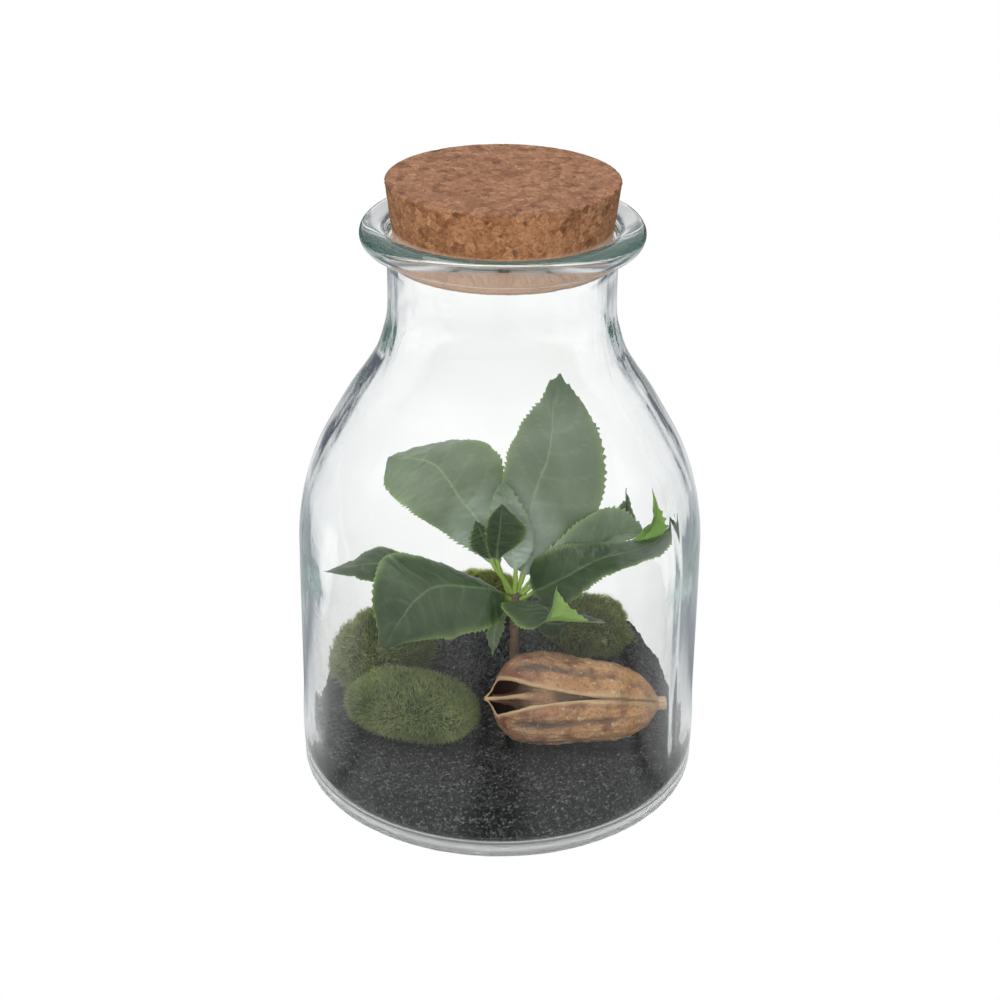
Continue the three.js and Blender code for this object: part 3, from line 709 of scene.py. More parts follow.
# ---------- bottle ----------
def bottle_profile():
    """Outline of the glass from the middle of its foot, up the outside, over the lip and down the inside."""
    outer_heel = (OUTER_WALL[0][0] - HEEL_RADIUS, HEEL_RADIUS)
    inner_heel = (INNER_WALL[0][0] - INNER_HEEL_RADIUS, FLOOR_HEIGHT + INNER_HEEL_RADIUS)
    to_ring = [(PUNT_RADIUS, PUNT_RISE * 0.9), (FOOT_RING_INNER - 2, 0.25), (FOOT_RING_INNER, 0)]
    foot = smooth_run([(0, PUNT_RISE), (PUNT_RADIUS * 0.6, PUNT_RISE), to_ring[0]], 4)
    floor = [(inner_heel[0] * s, FLOOR_HEIGHT + FLOOR_CROWN * (1 - s)) for s in (0.85, 0.6, 0.3, 0.0)]
    return np.vstack([
        foot[:-1], smooth_run(to_ring, 1.5), arc(outer_heel, HEEL_RADIUS, -90, 0, 12)[:-1],
        smooth_run(OUTER_WALL, 1.3),
        arc(LIP_CENTRE, LIP_TUBE_RADIUS, *LIP_ARC, 36), smooth_run(INNER_WALL[::-1], 1.3),
        arc(inner_heel, INNER_HEEL_RADIUS, 0, -90, 12)[1:], floor,
    ])


def glass_bottle():
    """Blown and moulded glass: slightly wavy walls, a thickness that wanders and two fine mould seams."""
    profile = bottle_profile()
    radius, height = profile[1:-1, :1], profile[1:-1, 1:]
    is_inside = (np.arange(1, len(profile) - 1) > np.argmax(profile[:, 1]))[:, None]
    angle = round_angles(256)
    ring = turned(40, 0, angle)

    def waves(wavelength, seed, rise, stretch=1.0, octaves=3):
        """Random waves round the glass; the smaller the rise, the longer they run up and down."""
        return drift(ring * stretch + height[..., None] * [0, 0, rise], wavelength, seed, octaves)

    on_wall = ease(height, 6, 16) * (1 - ease(height, 144, 150)) * ease(radius, 24, 27)
    on_shoulder = ease(height, 84, 96) * (1 - ease(height, 120, 130))
    on_heel = (1 - ease(height, 3, 7)) * ease(radius, 44, 46)
    on_lip = ease(height, 148, 152) * (1 - ease(height, 157.6, 158.2))
    inner_wave = 0.09 * waves(22, 12, 0.06, octaves=4) + 0.12 * waves(60, 13, 0.5)
    inner_wave = inner_wave + 0.025 * waves(14, 15, 0.12, 1.4) * on_shoulder
    wave = np.where(is_inside, inner_wave, 0.05 * waves(46, 11, 0.25)) * on_wall
    heel_wave = np.where(is_inside, 0, 0.07) * waves(5, 16, 3) * on_heel
    seam = sum(ridge(((angle - at + math.pi) % TAU - math.pi) * SEAM_REACH, SEAM_WIDTH) for at in SEAM_ANGLES)
    seam = seam * np.where(is_inside, 0, SEAM_RISE) * ease(height, 8, 20) * (1 - ease(height, 110, 135))
    rings = turned(radius + wave + seam + heel_wave, height + 0.12 * waves(40, 14, 0, 0.8) * on_lip, angle)
    return close_ends(rings, (0, 0, profile[0, 1]), (0, 0, profile[-1, 1]))


# ---------- cork ----------
def cork_stopper():
    """Pressed cork with rounded edges, pits between the granules and a few torn-out granules."""
    edge = 0.8
    low, high = np.array([CORK_BOTTOM_RADIUS, CORK_BOTTOM]), np.array([CORK_TOP_RADIUS, CORK_TOP])
    side = low + (high - low) * np.linspace(0.04, 0.96, 60)[:, None]
    top_edge = arc((CORK_TOP_RADIUS - edge, CORK_TOP - edge), edge, 5, 90, 5)
    bottom_edge = arc((CORK_BOTTOM_RADIUS - edge, CORK_BOTTOM + edge), edge, -90, -5, 4)
    top = [(r, CORK_TOP) for r in np.linspace(CORK_TOP_RADIUS - edge, 0, 70)[1:]]
    bottom = [(r, CORK_BOTTOM) for r in np.linspace(0, CORK_BOTTOM_RADIUS - edge, 20)[:-1]]
    profile = np.vstack([bottom, bottom_edge, side, top_edge, top])
    rings = turned(profile[1:-1, :1], profile[1:-1, 1:], round_angles(400))
    points, faces = close_ends(rings, (0, 0, CORK_BOTTOM), (0, 0, CORK_TOP))
    side_radius = np.interp(points[:, 2], [CORK_BOTTOM, CORK_TOP], [CORK_BOTTOM_RADIUS, CORK_TOP_RADIUS])
    flat = np.hypot(points[:, 0], points[:, 1]) < side_radius - 0.5
    normal = np.zeros_like(points)
    normal[~flat, :2] = unit(points[~flat, :2])
    normal[flat, 2] = np.sign(points[flat, 2] - (CORK_BOTTOM + CORK_TOP) / 2)
    bulge, number = grains(points, 2.1, 31)
    small, small_number = grains(points, 1.0, 32)
    torn = (number > 0.93) * ease(bulge, 0.05, 0.3) + (small_number > 0.9) * ease(small, 0.1, 0.4) * 0.5
    torn = np.clip(torn, 0, 1)
    depth = 0.1 * (1 - ease(bulge, 0.0, 0.25)) + 0.32 * torn
    marks = np.zeros((len(points), 4))
    marks[:, 0] = 0.55 * torn
    return points - normal * depth[:, None], faces, {"cork_marks": marks}


# ---------- sand ----------
def stone_surface(stone, direction, grow):
    """Points of a stone's outer shape in the given directions, moved out by grow."""
    x, y, z = direction[..., 0], direction[..., 1], direction[..., 2]
    lump = 1 + 0.03 * np.sin(4 * x + stone["at"][0]) * np.cos(3 * y + z)
    local = direction * (np.array(stone["half"]) * lump[..., None] + grow)
    return local @ upright_spin(stone["turn"]).T + np.array(stone["at"])


def over_stone(stone, x, y):
    """Squared distance from a stone's middle as seen from above, 1 at its rim."""
    turn = math.radians(stone["turn"])
    dx, dy = x - stone["at"][0], y - stone["at"][1]
    u = (dx * math.cos(turn) + dy * math.sin(turn)) / stone["half"][0]
    v = (dy * math.cos(turn) - dx * math.sin(turn)) / stone["half"][1]
    return u * u + v * v


def sand_height(x, y):
    """Level of the sand, with hollows where the stones and the capsule press into it."""
    away = (x - MOUND["x"]) ** 2 + (y - MOUND["y"]) ** 2
    level = SAND_LEVEL + SAND_SLOPE[0] * x + SAND_SLOPE[1] * y
    level = level + MOUND["height"] * np.exp(-away / (2 * MOUND["spread"] ** 2))
    level = level + 0.4 * np.sin(x / 9 + 1) * np.cos(y / 11)
    for stone in STONES.values():
        inside = np.clip(1 - over_stone(stone, x, y), 0, 1)
        underside = stone["at"][2] - stone["half"][2] * np.sqrt(inside) - SEAT_GAP
        level = np.where(inside > 0, np.minimum(level, underside), level)
    across = np.clip(1 - ((y - POD_TIP[1]) / POD_BED_RADIUS) ** 2, 0, 1)
    depth = POD_BED_RADIUS * np.sqrt(across) * ease(x, -5, 4) * (1 - ease(x, 36, 46))
    under_pod = (POD_TIP[2] + POD_END[2]) / 2 - depth - SEAT_GAP
    return np.where((across > 0) & (x > -3) & (x < 46), np.minimum(level, under_pod), level)


def sand_bed():
    """Bed of coarse grains that fills the bottle's bottom up to its surface."""
    clearance, grain_relief = 0.16, 0.34
    base = FLOOR_HEIGHT + FLOOR_CROWN
    angle = round_angles(600)
    heel_centre = (INNER_WALL[0][0] - INNER_HEEL_RADIUS - 0.1, base + INNER_HEEL_RADIUS)
    heel = arc(heel_centre, INNER_HEEL_RADIUS, -90, 0, 12)
    under = np.array([(r, base) for r in np.linspace(0, heel_centre[0], 6)[:-1]])
    low = np.vstack([under, heel])[1:]
    low_reach = np.minimum(low[:, :1], wall_radius(INNER_WALL, low[:, 1:]) - clearance) + 0 * angle
    rim = wall_radius(INNER_WALL, SAND_LEVEL)
    rim_level = sand_height(rim * np.cos(angle), rim * np.sin(angle))
    wall_height = heel[-1, 1] + (rim_level - heel[-1, 1]) * np.linspace(0, 1, 26)[1:, None]
    wall_reach = wall_radius(INNER_WALL, wall_height) - clearance
    top_reach = (1 - np.linspace(0, 1, 92) ** 1.15)[1:-1, None] * (rim - clearance) + 0 * angle
    top_height = sand_height(top_reach * np.cos(angle), top_reach * np.sin(angle))
    reach = np.vstack([low_reach, wall_reach, top_reach])
    rings = turned(reach, np.vstack([low[:, 1:] + 0 * angle, wall_height, top_height]), angle)
    bulge, number = grains(rings, SAND_GRAIN, 41)
    relief = grain_relief * ease(bulge, 0, 0.6) * (0.5 + 0.5 * number)
    on_top = np.zeros(len(reach))
    on_top[-len(top_reach):] = 1
    on_top = np.convolve(np.pad(on_top, 2, mode="edge"), np.full(5, 0.2), mode="valid")[:, None]
    rings[..., :2] *= (1 - (grain_relief - relief) * (1 - on_top) / np.maximum(reach, 1))[..., None]
    rings[..., 2] += (relief - 0.15) * on_top
    middle = sand_height(np.zeros(1), np.zeros(1))[0]
    return close_ends(rings, (0, 0, base), (0, 0, middle))


def grain_shapes(centres, sizes, seed):
    """A rough little polyhedron at each centre."""
    source = seeded(seed)
    golden = (1 + 5**0.5) / 2
    corners = unit(np.array([
        (-1, golden, 0), (1, golden, 0), (-1, -golden, 0), (1, -golden, 0), (0, -1, golden), (0, 1, golden),
        (0, -1, -golden), (0, 1, -golden), (golden, 0, -1), (golden, 0, 1), (-golden, 0, -1), (-golden, 0, 1),
    ]))
    sides = np.array([
        (0, 11, 5), (0, 5, 1), (0, 1, 7), (0, 7, 10), (0, 10, 11), (1, 5, 9), (5, 11, 4),
        (11, 10, 2), (10, 7, 6), (7, 1, 8), (3, 9, 4), (3, 4, 2), (3, 2, 6), (3, 6, 8),
        (3, 8, 9), (4, 9, 5), (2, 4, 11), (6, 2, 10), (8, 6, 7), (9, 8, 1),
    ])
    count = len(centres)
    stretch = source.uniform(0.65, 1.25, size=(count, 1, 3))
    rough = source.uniform(0.78, 1.15, size=(count, 12, 1))
    w, x, y, z = unit(source.normal(size=(count, 4))).T
    spin = np.stack([
        1 - 2 * (y * y + z * z), 2 * (x * y - z * w), 2 * (x * z + y * w),
        2 * (x * y + z * w), 1 - 2 * (x * x + z * z), 2 * (y * z - x * w),
        2 * (x * z - y * w), 2 * (y * z + x * w), 1 - 2 * (x * x + y * y),
    ], axis=-1).reshape(count, 3, 3)
    local = corners[None] * stretch * rough * (sizes / 2)[:, None, None]
    points = np.einsum("nij,nkj->nki", spin, local) + centres[:, None, :]
    faces = sides[None] + 12 * np.arange(count)[:, None, None]
    return points.reshape(-1, 3), [faces.reshape(-1, 3)]


def loose_grains():
    """Separate grains that lie on the bed wherever no stone, capsule or stem stands."""
    source = seeded(51)
    angle = source.uniform(0, TAU, LOOSE_GRAINS)
    rim = wall_radius(INNER_WALL, SAND_LEVEL) - 0.75
    reach = rim * np.sqrt(source.uniform(0, 1, LOOSE_GRAINS))
    x, y = reach * np.cos(angle), reach * np.sin(angle)
    keep = np.hypot(x - STEM[0][0], y - STEM[0][1]) > STEM_RADIUS + 0.6
    for stone in STONES.values():
        keep &= over_stone(stone, x, y) > 0.93
    keep &= ~((np.abs(y - POD_TIP[1]) < 11.5) & (x > -2) & (x < 46))
    x, y = x[keep], y[keep]
    sizes = source.uniform(0.45, 0.95, len(x))
    z = sand_height(x, y) + sizes * source.uniform(-0.1, 0.3, len(x)) + 0.05
    return grain_shapes(np.stack([x, y, z], axis=-1), sizes, 52)


# ---------- moss ----------
def moss_ground(stone, depth):
    """Lumpy ground that the fibres grow from, that deep under the stone's outline."""
    polar = np.linspace(0, math.pi, 42)[1:-1, None]
    direction = turned(np.sin(polar), -np.cos(polar), round_angles(72))
    grow = -depth + 0.35 * drift(direction * 20, 7, int(stone["half"][0] * 10))
    ends = stone_surface(stone, np.array([[0, 0, -1.0], [0, 0, 1.0]]), -depth)
    points, faces = close_ends(stone_surface(stone, direction, grow[..., None]), ends[0], ends[1])
    marks = np.zeros((len(points), 4))
    marks[:, 1] = 0.3
    return points, faces, marks


def moss_stone(stone, seed):
    """Ground and thousands of short curved fibres, each one a three-sided spike with a bend in it."""
    source = seeded(seed)
    rooted = MOSS_FIBRE_LENGTH * 0.85
    ground_points, ground_faces, ground_marks = moss_ground(stone, rooted)
    direction = unit(source.normal(size=(stone["fibres"], 3)))
    direction = direction[direction[:, 2] > -0.75]
    count = len(direction)
    root = stone_surface(stone, direction, -rooted - 0.1)
    normal = unit((direction / np.array(stone["half"])) @ upright_spin(stone["turn"]).T)
    flow = np.stack([drift(root, 9, seed + k, 2) for k in (1, 2, 3)], axis=-1)
    lean = flow * 0.55 + source.normal(size=(count, 3)) * 0.5 + np.array([0, 0, 0.1])
    lean = lean - normal * np.einsum("ij,ij->i", lean, normal)[:, None]
    reach = MOSS_FIBRE_LENGTH * source.uniform(0.6, 1.35, count)[:, None]
    middle = root + unit(normal + lean * 0.45) * reach * 0.55
    tip = middle + unit(normal * 0.75 + lean * 1.1) * reach * 0.55
    width = source.uniform(0.07, 0.13, count)[:, None]
    side = unit(np.cross(normal, unit(lean + 1e-3)))
    front = unit(np.cross(side, normal))
    corners = [
        centre + (side * a + front * b) * width * scale
        for centre, scale in ((root, 1.0), (middle, 0.8))
        for a, b in ((1.0, 0.0), (-0.5, 0.87), (-0.5, -0.87))
    ]
    points = np.stack([*corners, tip], axis=1)
    sides = np.array([(3, 4, 1, 0), (4, 5, 2, 1), (5, 3, 0, 2)])
    ends = np.array([(6, 4, 3), (6, 5, 4), (6, 3, 5), (0, 1, 2)])
    offset = len(ground_points) + 7 * np.arange(count)[:, None, None]
    marks = np.zeros((count, 7, 4))
    marks[:, :, 0] = [0, 0, 0, 0.55, 0.55, 0.55, 1.0]
    marks[:, :, 1] = source.uniform(0, 1, count)[:, None]
    marks[:, :, 2] = (0.5 + 0.5 * drift(root, 12, seed + 9))[:, None]
    points = np.vstack([ground_points, points.reshape(-1, 3)])
    free_reach = wall_radius(INNER_WALL, points[:, 2]) - 0.4
    points[:, :2] *= np.minimum(1, free_reach / np.hypot(points[:, 0], points[:, 1]))[:, None]
    faces = [*ground_faces, (sides + offset).reshape(-1, 4), (ends + offset).reshape(-1, 3)]
    return points, faces, {"fibre_marks": np.vstack([ground_marks, marks.reshape(-1, 4)])}


# ---------- seed capsule ----------
def pod_axes():
    """The capsule's own directions: along it, out through its split, and sideways."""
    along = unit(np.array(POD_END) - np.array(POD_TIP))
    facing = np.array([0, -math.cos(POD_FACE_LIFT), math.sin(POD_FACE_LIFT)])
    facing = unit(facing - along * (facing @ along))
    return along, facing, np.cross(along, facing)


def pod_point(length, radius, angle):
    """Point at that length from the tip, radius, and angle from the split."""
    along, facing, sideways = pod_axes()
    length, radius, angle = np.broadcast_arrays(length, radius, angle)
    out = np.cos(angle)[..., None] * facing + np.sin(angle)[..., None] * sideways
    return np.array(POD_TIP) + length[..., None] * along + radius[..., None] * out


def husk():
    """Two ribbed valves joined along the back, open in front, with thin pale rims."""
    columns = 240
    length = np.linspace(0, POD_LENGTH, 190)[:, None]
    radius, opening = (np.interp(length, *zip(*smooth_run(run, 0.6))) for run in (POD_RADIUS, POD_OPENING))
    lip = np.arcsin(np.clip(opening / radius, 0.01, 0.95))
    angle = lip + (TAU - 2 * lip) * np.linspace(0, 1, columns)[None, :]
    from_split = np.minimum(angle, TAU - angle)
    from_rim = (from_split - lip) * radius
    # Relief of the outside: grooves, ribs, wrinkles, two lobes and a curled rim.
    swell = ease(length, 1.5, 9) * (1 - ease(length, 38, 47))
    suture = ridge(from_split - 0.64 - 0.05 * np.sin(length / 7), 0.1)
    second = ridge(from_split - 1.35, 0.14)
    dip = ridge(from_split, 0.34) * ease(length, 22, 34)
    grooves = (1 - 0.5 * ease(length, 22, 38)) * (0.75 * suture + 0.4 * second) + 0.5 * dip
    ribs = 0.07 * np.sin(from_split * 21 + 0.8 * np.sin(length / 8))
    ribs = ribs + 0.06 * np.sin(from_split * 37 + length / 11)
    cells = np.stack([length + 0 * angle, from_split * 12, np.sin(angle) * 4], axis=-1)
    wrinkle = 0.26 * drift(cells * [0.35, 1, 1], 5, 61) + 0.16 * drift(cells * [0.6, 1.5, 1], 1.6, 62)
    lobe = 0.45 * np.cos(2 * (from_split - 0.55))
    rim_curl = 0.35 * ridge(from_rim, 0.9) * ease(length, 2, 5)
    surface = np.maximum(radius + swell * (ribs + wrinkle + lobe - grooves) + rim_curl, 0.3)
    # The inside, and the rims that join it to the outside.
    thickness = np.interp(length, [0, 3, 44, POD_LENGTH], [0.35, 0.8, 0.8, 0.5])
    inner_angle = TAU - lip - (TAU - 2 * lip) * np.linspace(0, 1, 70)[None, :]
    inner = np.maximum(radius - thickness, 0.15) + 0.15 * swell * np.sin(inner_angle * 9)
    rim = (surface[:, -1:] + inner[:, :1]) / 2 + 0.05
    overhang = 0.25 * thickness / radius
    rings = np.concatenate([
        pod_point(length, surface, angle), pod_point(length, rim, angle[:, -1:] + overhang),
        pod_point(length, inner, inner_angle), pod_point(length, rim, angle[:, :1] - overhang),
    ], axis=1)
    tip, end = pod_point(np.array([-0.1, POD_LENGTH + 0.4]), np.zeros(2), np.zeros(2))
    points, faces = close_ends(rings, tip, end)
    # Marks: dark grooves and seam, pale rims and stalk, painted shade on the inside, and the share of the
    # length.
    grooved = np.clip(suture + 0.6 * second + 0.5 * dip, 0, 1) * ease(length, 4, 12)
    grooved = grooved * (1 - 0.75 * ease(length, 20, 36))
    seam = ridge(from_rim, 0.3) * ease(length, 26, 31) * (1 - ease(length, 44, 46))
    near_rim = ridge(from_rim - 0.75 * ease(length, 26, 31), 0.6) * (1 - 0.6 * ease(length, 28, 36))
    pale = np.clip(near_rim + 1 - ease(length, 0.5, 2.5), 0, 1)
    marks = np.zeros((*rings.shape[:2], 4))
    marks[:, :columns, 0] = np.maximum(grooved, seam)
    marks[:, :columns, 1] = np.maximum(pale, ease(length, 45.5, 46.8))
    marks[:, [columns, -1], 1] = 1
    marks[:, columns + 1:-1, 2] = 1
    marks[:, :, 3] = ease(length, 6, 34)
    marks = np.vstack([marks.reshape(-1, 4), [[0, 1, 0, 0]], [[0, 1, 0, 1]]])
    return points, faces, {"husk_marks": marks}


def pod_core():
    """Pale spongy body that fills the capsule behind its open mouths, fibrous and slit in front."""
    outline = smooth_run(POD_CORE, 0.7)
    length = outline[:, :1]
    angle = round_angles(72)
    from_split = np.abs((angle + math.pi) % TAU - math.pi)
    hollow = 1.6 * ridge(from_split, 0.14) * ease(length, 16, 21)
    hollow = hollow + 0.22 * np.sin(from_split * 26 + 0.5 * np.sin(length / 3)) * ease(length, 8, 11)
    cells = turned(8, length, angle)[..., [2, 0, 1]]
    radius = np.maximum(outline[:, 1:] - hollow + 0.15 * drift(cells, 3, 71), 0.4)
    start, end = pod_point(np.array([2.0, 44.8]), np.zeros(2), np.zeros(2))
    points, faces = close_ends(pod_point(length, radius, angle), start, end)
    slit = ridge(from_split, 0.13) * ease(length, 15.5, 21)
    fibres = np.sin(from_split * 44 - length * 0.3 + np.sin(length / 2)).clip(0) * ease(length, 11, 14)
    shade = 0.8 - 0.6 * ease(length, 8, 14) + 0.3 * ease(length, 16, 26)
    marks = np.zeros((len(points), 4))
    marks[:-2, 0] = np.clip(slit + 0.3 * fibres, 0, 1).ravel()
    marks[:, 1] = 0.22
    marks[:-2, 2] = (shade + 0 * angle).ravel()
    marks[:, 3] = 0.25
    return points, faces, {"husk_marks": marks}


def pod_septum():
    """Thin wall between the two mouths, with a pale front edge that widens as it sinks into the core."""
    length = np.linspace(0.2, 19, 60)[:, None]
    reach = np.interp(length, [0.2, 2.5, 4, 7, 11, 15, 19], [0.5, 2.2, 4.6, 7.8, 10.3, 10.8, 9.0])
    half_width = np.interp(length, [0.2, 4, 9, 13, 16, 19], [0.5, 0.45, 0.65, 1.5, 2.4, 2.6])
    angle = round_angles(16)
    front = np.cos(angle)
    rib = np.interp(front, [-1, 0.3, 1], [0.6, 0.7, 1.25])
    depth = (0.5 + 0.5 * front) * reach - 0.2
    width = np.sin(angle) * half_width * rib * 1.5 + 0.12 * np.sin(length / 2.3)
    along, facing, sideways = pod_axes()
    rings = np.array(POD_TIP) + length[..., None] * along + depth[..., None] * facing
    rings = rings + width[..., None] * sideways
    points, faces = close_ends(rings, rings[0].mean(0), rings[-1].mean(0))
    marks = np.zeros((*rings.shape[:2], 4))
    marks[..., 1] = ease(front, 0.6, 0.95) * (1 - 0.8 * ease(length, 6, 14))
    # Painted shade, heavier behind the front edge and further in.
    marks[..., 2] = 0.5 * (1 - ease(front, 0.2, 0.8)) + 0.2 * ease(length, 10, 15)
    return points, faces, {"husk_marks": np.vstack([marks.reshape(-1, 4), marks[0, :1], marks[-1, :1]])}


# ---------- plant ----------
def leaf_run(points, t):
    """Smooth curve through the points, and its direction, at shares t of its run."""
    ends = with_ends(points)
    last = len(points) - 1
    along = np.clip(t, 0, 1) * last
    index = np.minimum(np.floor(along).astype(int), last - 1)
    w = (along - index)[:, None]
    a, b, c, d = (ends[index + k] for k in range(4))
    gap_in, gap, gap_out = (np.maximum(np.linalg.norm(q - p, axis=1), 1e-4)[:, None] ** 0.5
                            for p, q in ((a, b), (b, c), (c, d)))
    slope_in = ((b - a) / gap_in - (c - a) / (gap_in + gap) + (c - b) / gap) * gap
    slope_out = ((c - b) / gap - (d - b) / (gap + gap_out) + (d - c) / gap_out) * gap
    square = -3 * b + 3 * c - 2 * slope_in - slope_out
    cube = 2 * b - 2 * c + slope_in + slope_out
    return b + slope_in * w + square * w**2 + cube * w**3, unit(slope_in + 2 * square * w + 3 * cube * w**2)


def between_stations(stations, u):
    """Smooth value between three stations at the base, middle and tip."""
    base, middle, tip = (np.array(station, float) for station in stations)
    u = np.clip(u, 0, 1)[:, None]
    return base * (1 - u) * (1 - 2 * u) + middle * 4 * u * (1 - u) + tip * u * (2 * u - 1)


def leaf_base(leaf):
    """Point where a petiole meets the stem: on its side, or near the rim of its top."""
    top = np.array(STEM[2])
    toward = unit(np.array([leaf["spine"][0][0] - top[0], leaf["spine"][0][1] - top[1], 0]))
    if leaf["node"] is None:
        return top + toward * CROWN_RADIUS + np.array([0, 0, SEAT_GAP])
    middle = np.array(STEM[1])
    share = (leaf["node"] - middle[2]) / (top[2] - middle[2])
    return middle + (top - middle) * share + toward * (STEM_RADIUS + SEAT_GAP)


def leaf_width(leaf, u):
    """Share of its full width that a blade has along its length."""
    inside = np.clip(u, 0, 1)
    skew = math.log(0.5) / math.log(leaf["peak"])
    fullness = leaf["round"] + (leaf["point"] - leaf["round"]) * inside**3
    return np.where((u > 0) & (u < 1), np.sin(np.pi * inside**skew).clip(0) ** fullness, 0)


def leaf_teeth(leaf, u, left_half, seed):
    """Teeth that point forward, each a little different: how far they stand out, and their size."""
    wander = drift(np.stack([u * 9, 0 * u, 0 * u], axis=-1), 2, seed + 5)
    phase = u * leaf["teeth"] + np.where(left_half, 0.4, 0.0) + 0.25 * wander
    size = 0.6 + 0.4 * np.sin(np.floor(phase) * 12.9898 + np.where(left_half, 4.0, 1.0))
    return ((phase % 1) ** 1.4 - 0.42) * 1.15 * size, size


def leaf_blade(leaf, seed):
    """Petiole and toothed blade in one closed skin, with sunk veins above and a raised midrib below."""
    t = np.linspace(0.002, 0.998, 270)
    along = (t - leaf["petiole"]) / (1 - leaf["petiole"])
    run = [leaf_base(leaf), *leaf["spine"]]
    spine, tangent = leaf_run(run, t)
    left, right = between_stations(leaf["left"], along), between_stations(leaf["right"], along)
    u, blade = along[:, None], leaf_width(leaf, along)[:, None]
    angle = round_angles(60)
    angle = angle + 0.42 * np.sin(2 * angle)
    across, through = np.cos(angle), np.sin(angle)
    v, left_half = np.abs(across), across < 0
    top_side = leaf.get("upper", 1)
    is_upper = through * top_side
    side = np.where(left_half[..., None], left[:, None], right[:, None])
    side_length = np.linalg.norm(side, axis=-1)
    half_width = side_length * blade
    stalk = leaf["stalk"] * (1 - ease(u, 0, 0.9))
    width = v * (blade + stalk / side_length * (1 - blade))
    left_normal, right_normal = unit(np.cross(tangent, left)), unit(np.cross(right, tangent))
    lean = ((1 + across) / 2)[..., None]
    normal = unit(left_normal[:, None] * (1 - lean) + right_normal[:, None] * lean)
    on_blade = ease(u, 0.0, 0.12) * (1 - ease(u, 0.93, 1.0))
    tooth, tooth_size = leaf_teeth(leaf, u, left_half, seed)
    tooth = tooth * on_blade * ease(half_width, 0, 4)
    edge = v**14
    # Side veins curve towards the tip and lie a little sunk, with the tissue between them raised.
    vein_phase = (u - 0.17 * v**1.4) * leaf["veins"] + np.where(left_half, 0.5, 0.0)
    vein_phase = vein_phase + 0.12 * seeded(seed).normal()
    from_vein = np.abs((vein_phase + 0.5) % 1 - 0.5)
    side_vein = ridge(from_vein, 0.05) * on_blade * (1 - ease(v, 0.75, 0.98))
    puff = np.sin(np.pi * from_vein * 2).clip(0) * on_blade * v * (1 - v**4)
    midrib = ridge(v * half_width, 0.42 - 0.26 * u) * (1 - ease(u, 0.8, 1.0))
    cells = np.stack([u * 60 + 0 * v, across * half_width, 0 * u + 0 * v], axis=-1)
    ruffle = 0.45 * drift(cells * [0.25, 0.25, 1], 5, seed + 7) * v**2 + 0.12 * drift(cells, 5, seed + 8)
    arch = 0.12 * half_width * (v - v**2)
    relief = (ruffle + arch) * on_blade + top_side * (0.09 * puff - 0.1 * side_vein)
    above = 0.2 - 0.1 * midrib
    below = 0.2 + 0.42 * ridge(v * half_width, 0.55) * (1 - ease(u, 0.3, 1.0)) + 0.08 * side_vein
    flat = ease(u, -0.05, 0.2)
    thick = leaf["stalk"] * (1 - flat) + np.where(is_upper > 0, above, below) * flat
    rings = spine[:, None] + side * width[..., None] + unit(side) * (tooth * edge)[..., None]
    rings = rings + normal * (relief + through * thick)[..., None]
    points, faces = close_ends(rings, *leaf_run(run, np.array([0.0, 1.0]))[0])
    veins = np.clip(np.maximum(0.7 * midrib * ease(u, -0.02, 0.02), 0.26 * side_vein), 0, 1)
    petiole = 1 - ease(u, -0.04, 0.03)
    margin = edge * on_blade * (0.6 + 0.4 * tooth_size)
    marks = np.stack([veins, margin, 1.0 * (is_upper > 0.02) + 0 * u, petiole + 0 * v], axis=-1)
    return points, faces, {"leaf_marks": np.vstack([marks.reshape(-1, 4), marks[0, :1], marks[-1, :1]])}


def plant_stem():
    """Thin woody stem with leaf scars and a slight bend."""
    t = np.linspace(0, 1, 120)
    spine, tangent = leaf_run(STEM, t)
    angle = round_angles(48)
    side = unit(np.cross(tangent, [0.0, 1.0, 0.0]))
    front = np.cross(tangent, side)
    height = spine[:, 2:]
    rough = 0.07 * drift(turned(1.6, height * 0.5, angle), 2.2, 81) + 0.03 * np.sin(angle * 9 + height)
    scars = sum(0.14 * ridge(height - level - 0.4 * np.sin(angle + level), 0.35) for level in LEAF_SCARS)
    taper = 1 - 0.5 * ease(t, 0.985, 1.0)[:, None]
    radius = (STEM_RADIUS - 0.05 + rough + scars) * taper
    out = np.cos(angle)[..., None] * side[:, None] + np.sin(angle)[..., None] * front[:, None]
    return close_ends(spine[:, None] + radius[..., None] * out, spine[0], spine[-1])


# ---------- put everything in the bottle ----------
def fill_bottle():
    place("glass_bottle", glass_bottle(), clear_glass(), "glass_jar")
    place("cork", cork_stopper(), pressed_cork(), "cork_stopper")
    sand = dark_sand()
    place("sand", sand_bed(), sand, "sand_bed")
    place("sand_loose_grains", loose_grains(), sand)
    for seed, (name, stone) in enumerate(STONES.items()):
        finish = moss_fibre(*stone["moss"])
        place(name + "_fibres", moss_stone(stone, 100 + 20 * seed), finish, name)
    husk_finish = dry_husk()
    place("husk", husk(), husk_finish, "seed_capsule")
    place("capsule_core", pod_core(), husk_finish)
    place("capsule_septum", pod_septum(), husk_finish)
    place("stem", plant_stem(), thin_bark(), "plant_stem")
    tissues = {name: leaf_tissue("leaf_" + name, **tones) for name, tones in LEAF_TONES.items()}
    for seed, (name, leaf) in enumerate(LEAVES.items()):
        place(name + "_blade", leaf_blade(leaf, 200 + 10 * seed), tissues[leaf["finish"]], name)


# ---------- studio ----------
def straight_through(bench, light):
    """One for light seen through both walls of the bottle with nothing else in its way."""
    both_walls = bench.math("GREATER_THAN", light["Transmission Depth"], 3.5)
    return bench.times(both_walls, bench.math("LESS_THAN", light["Ray Depth"], 4.5))


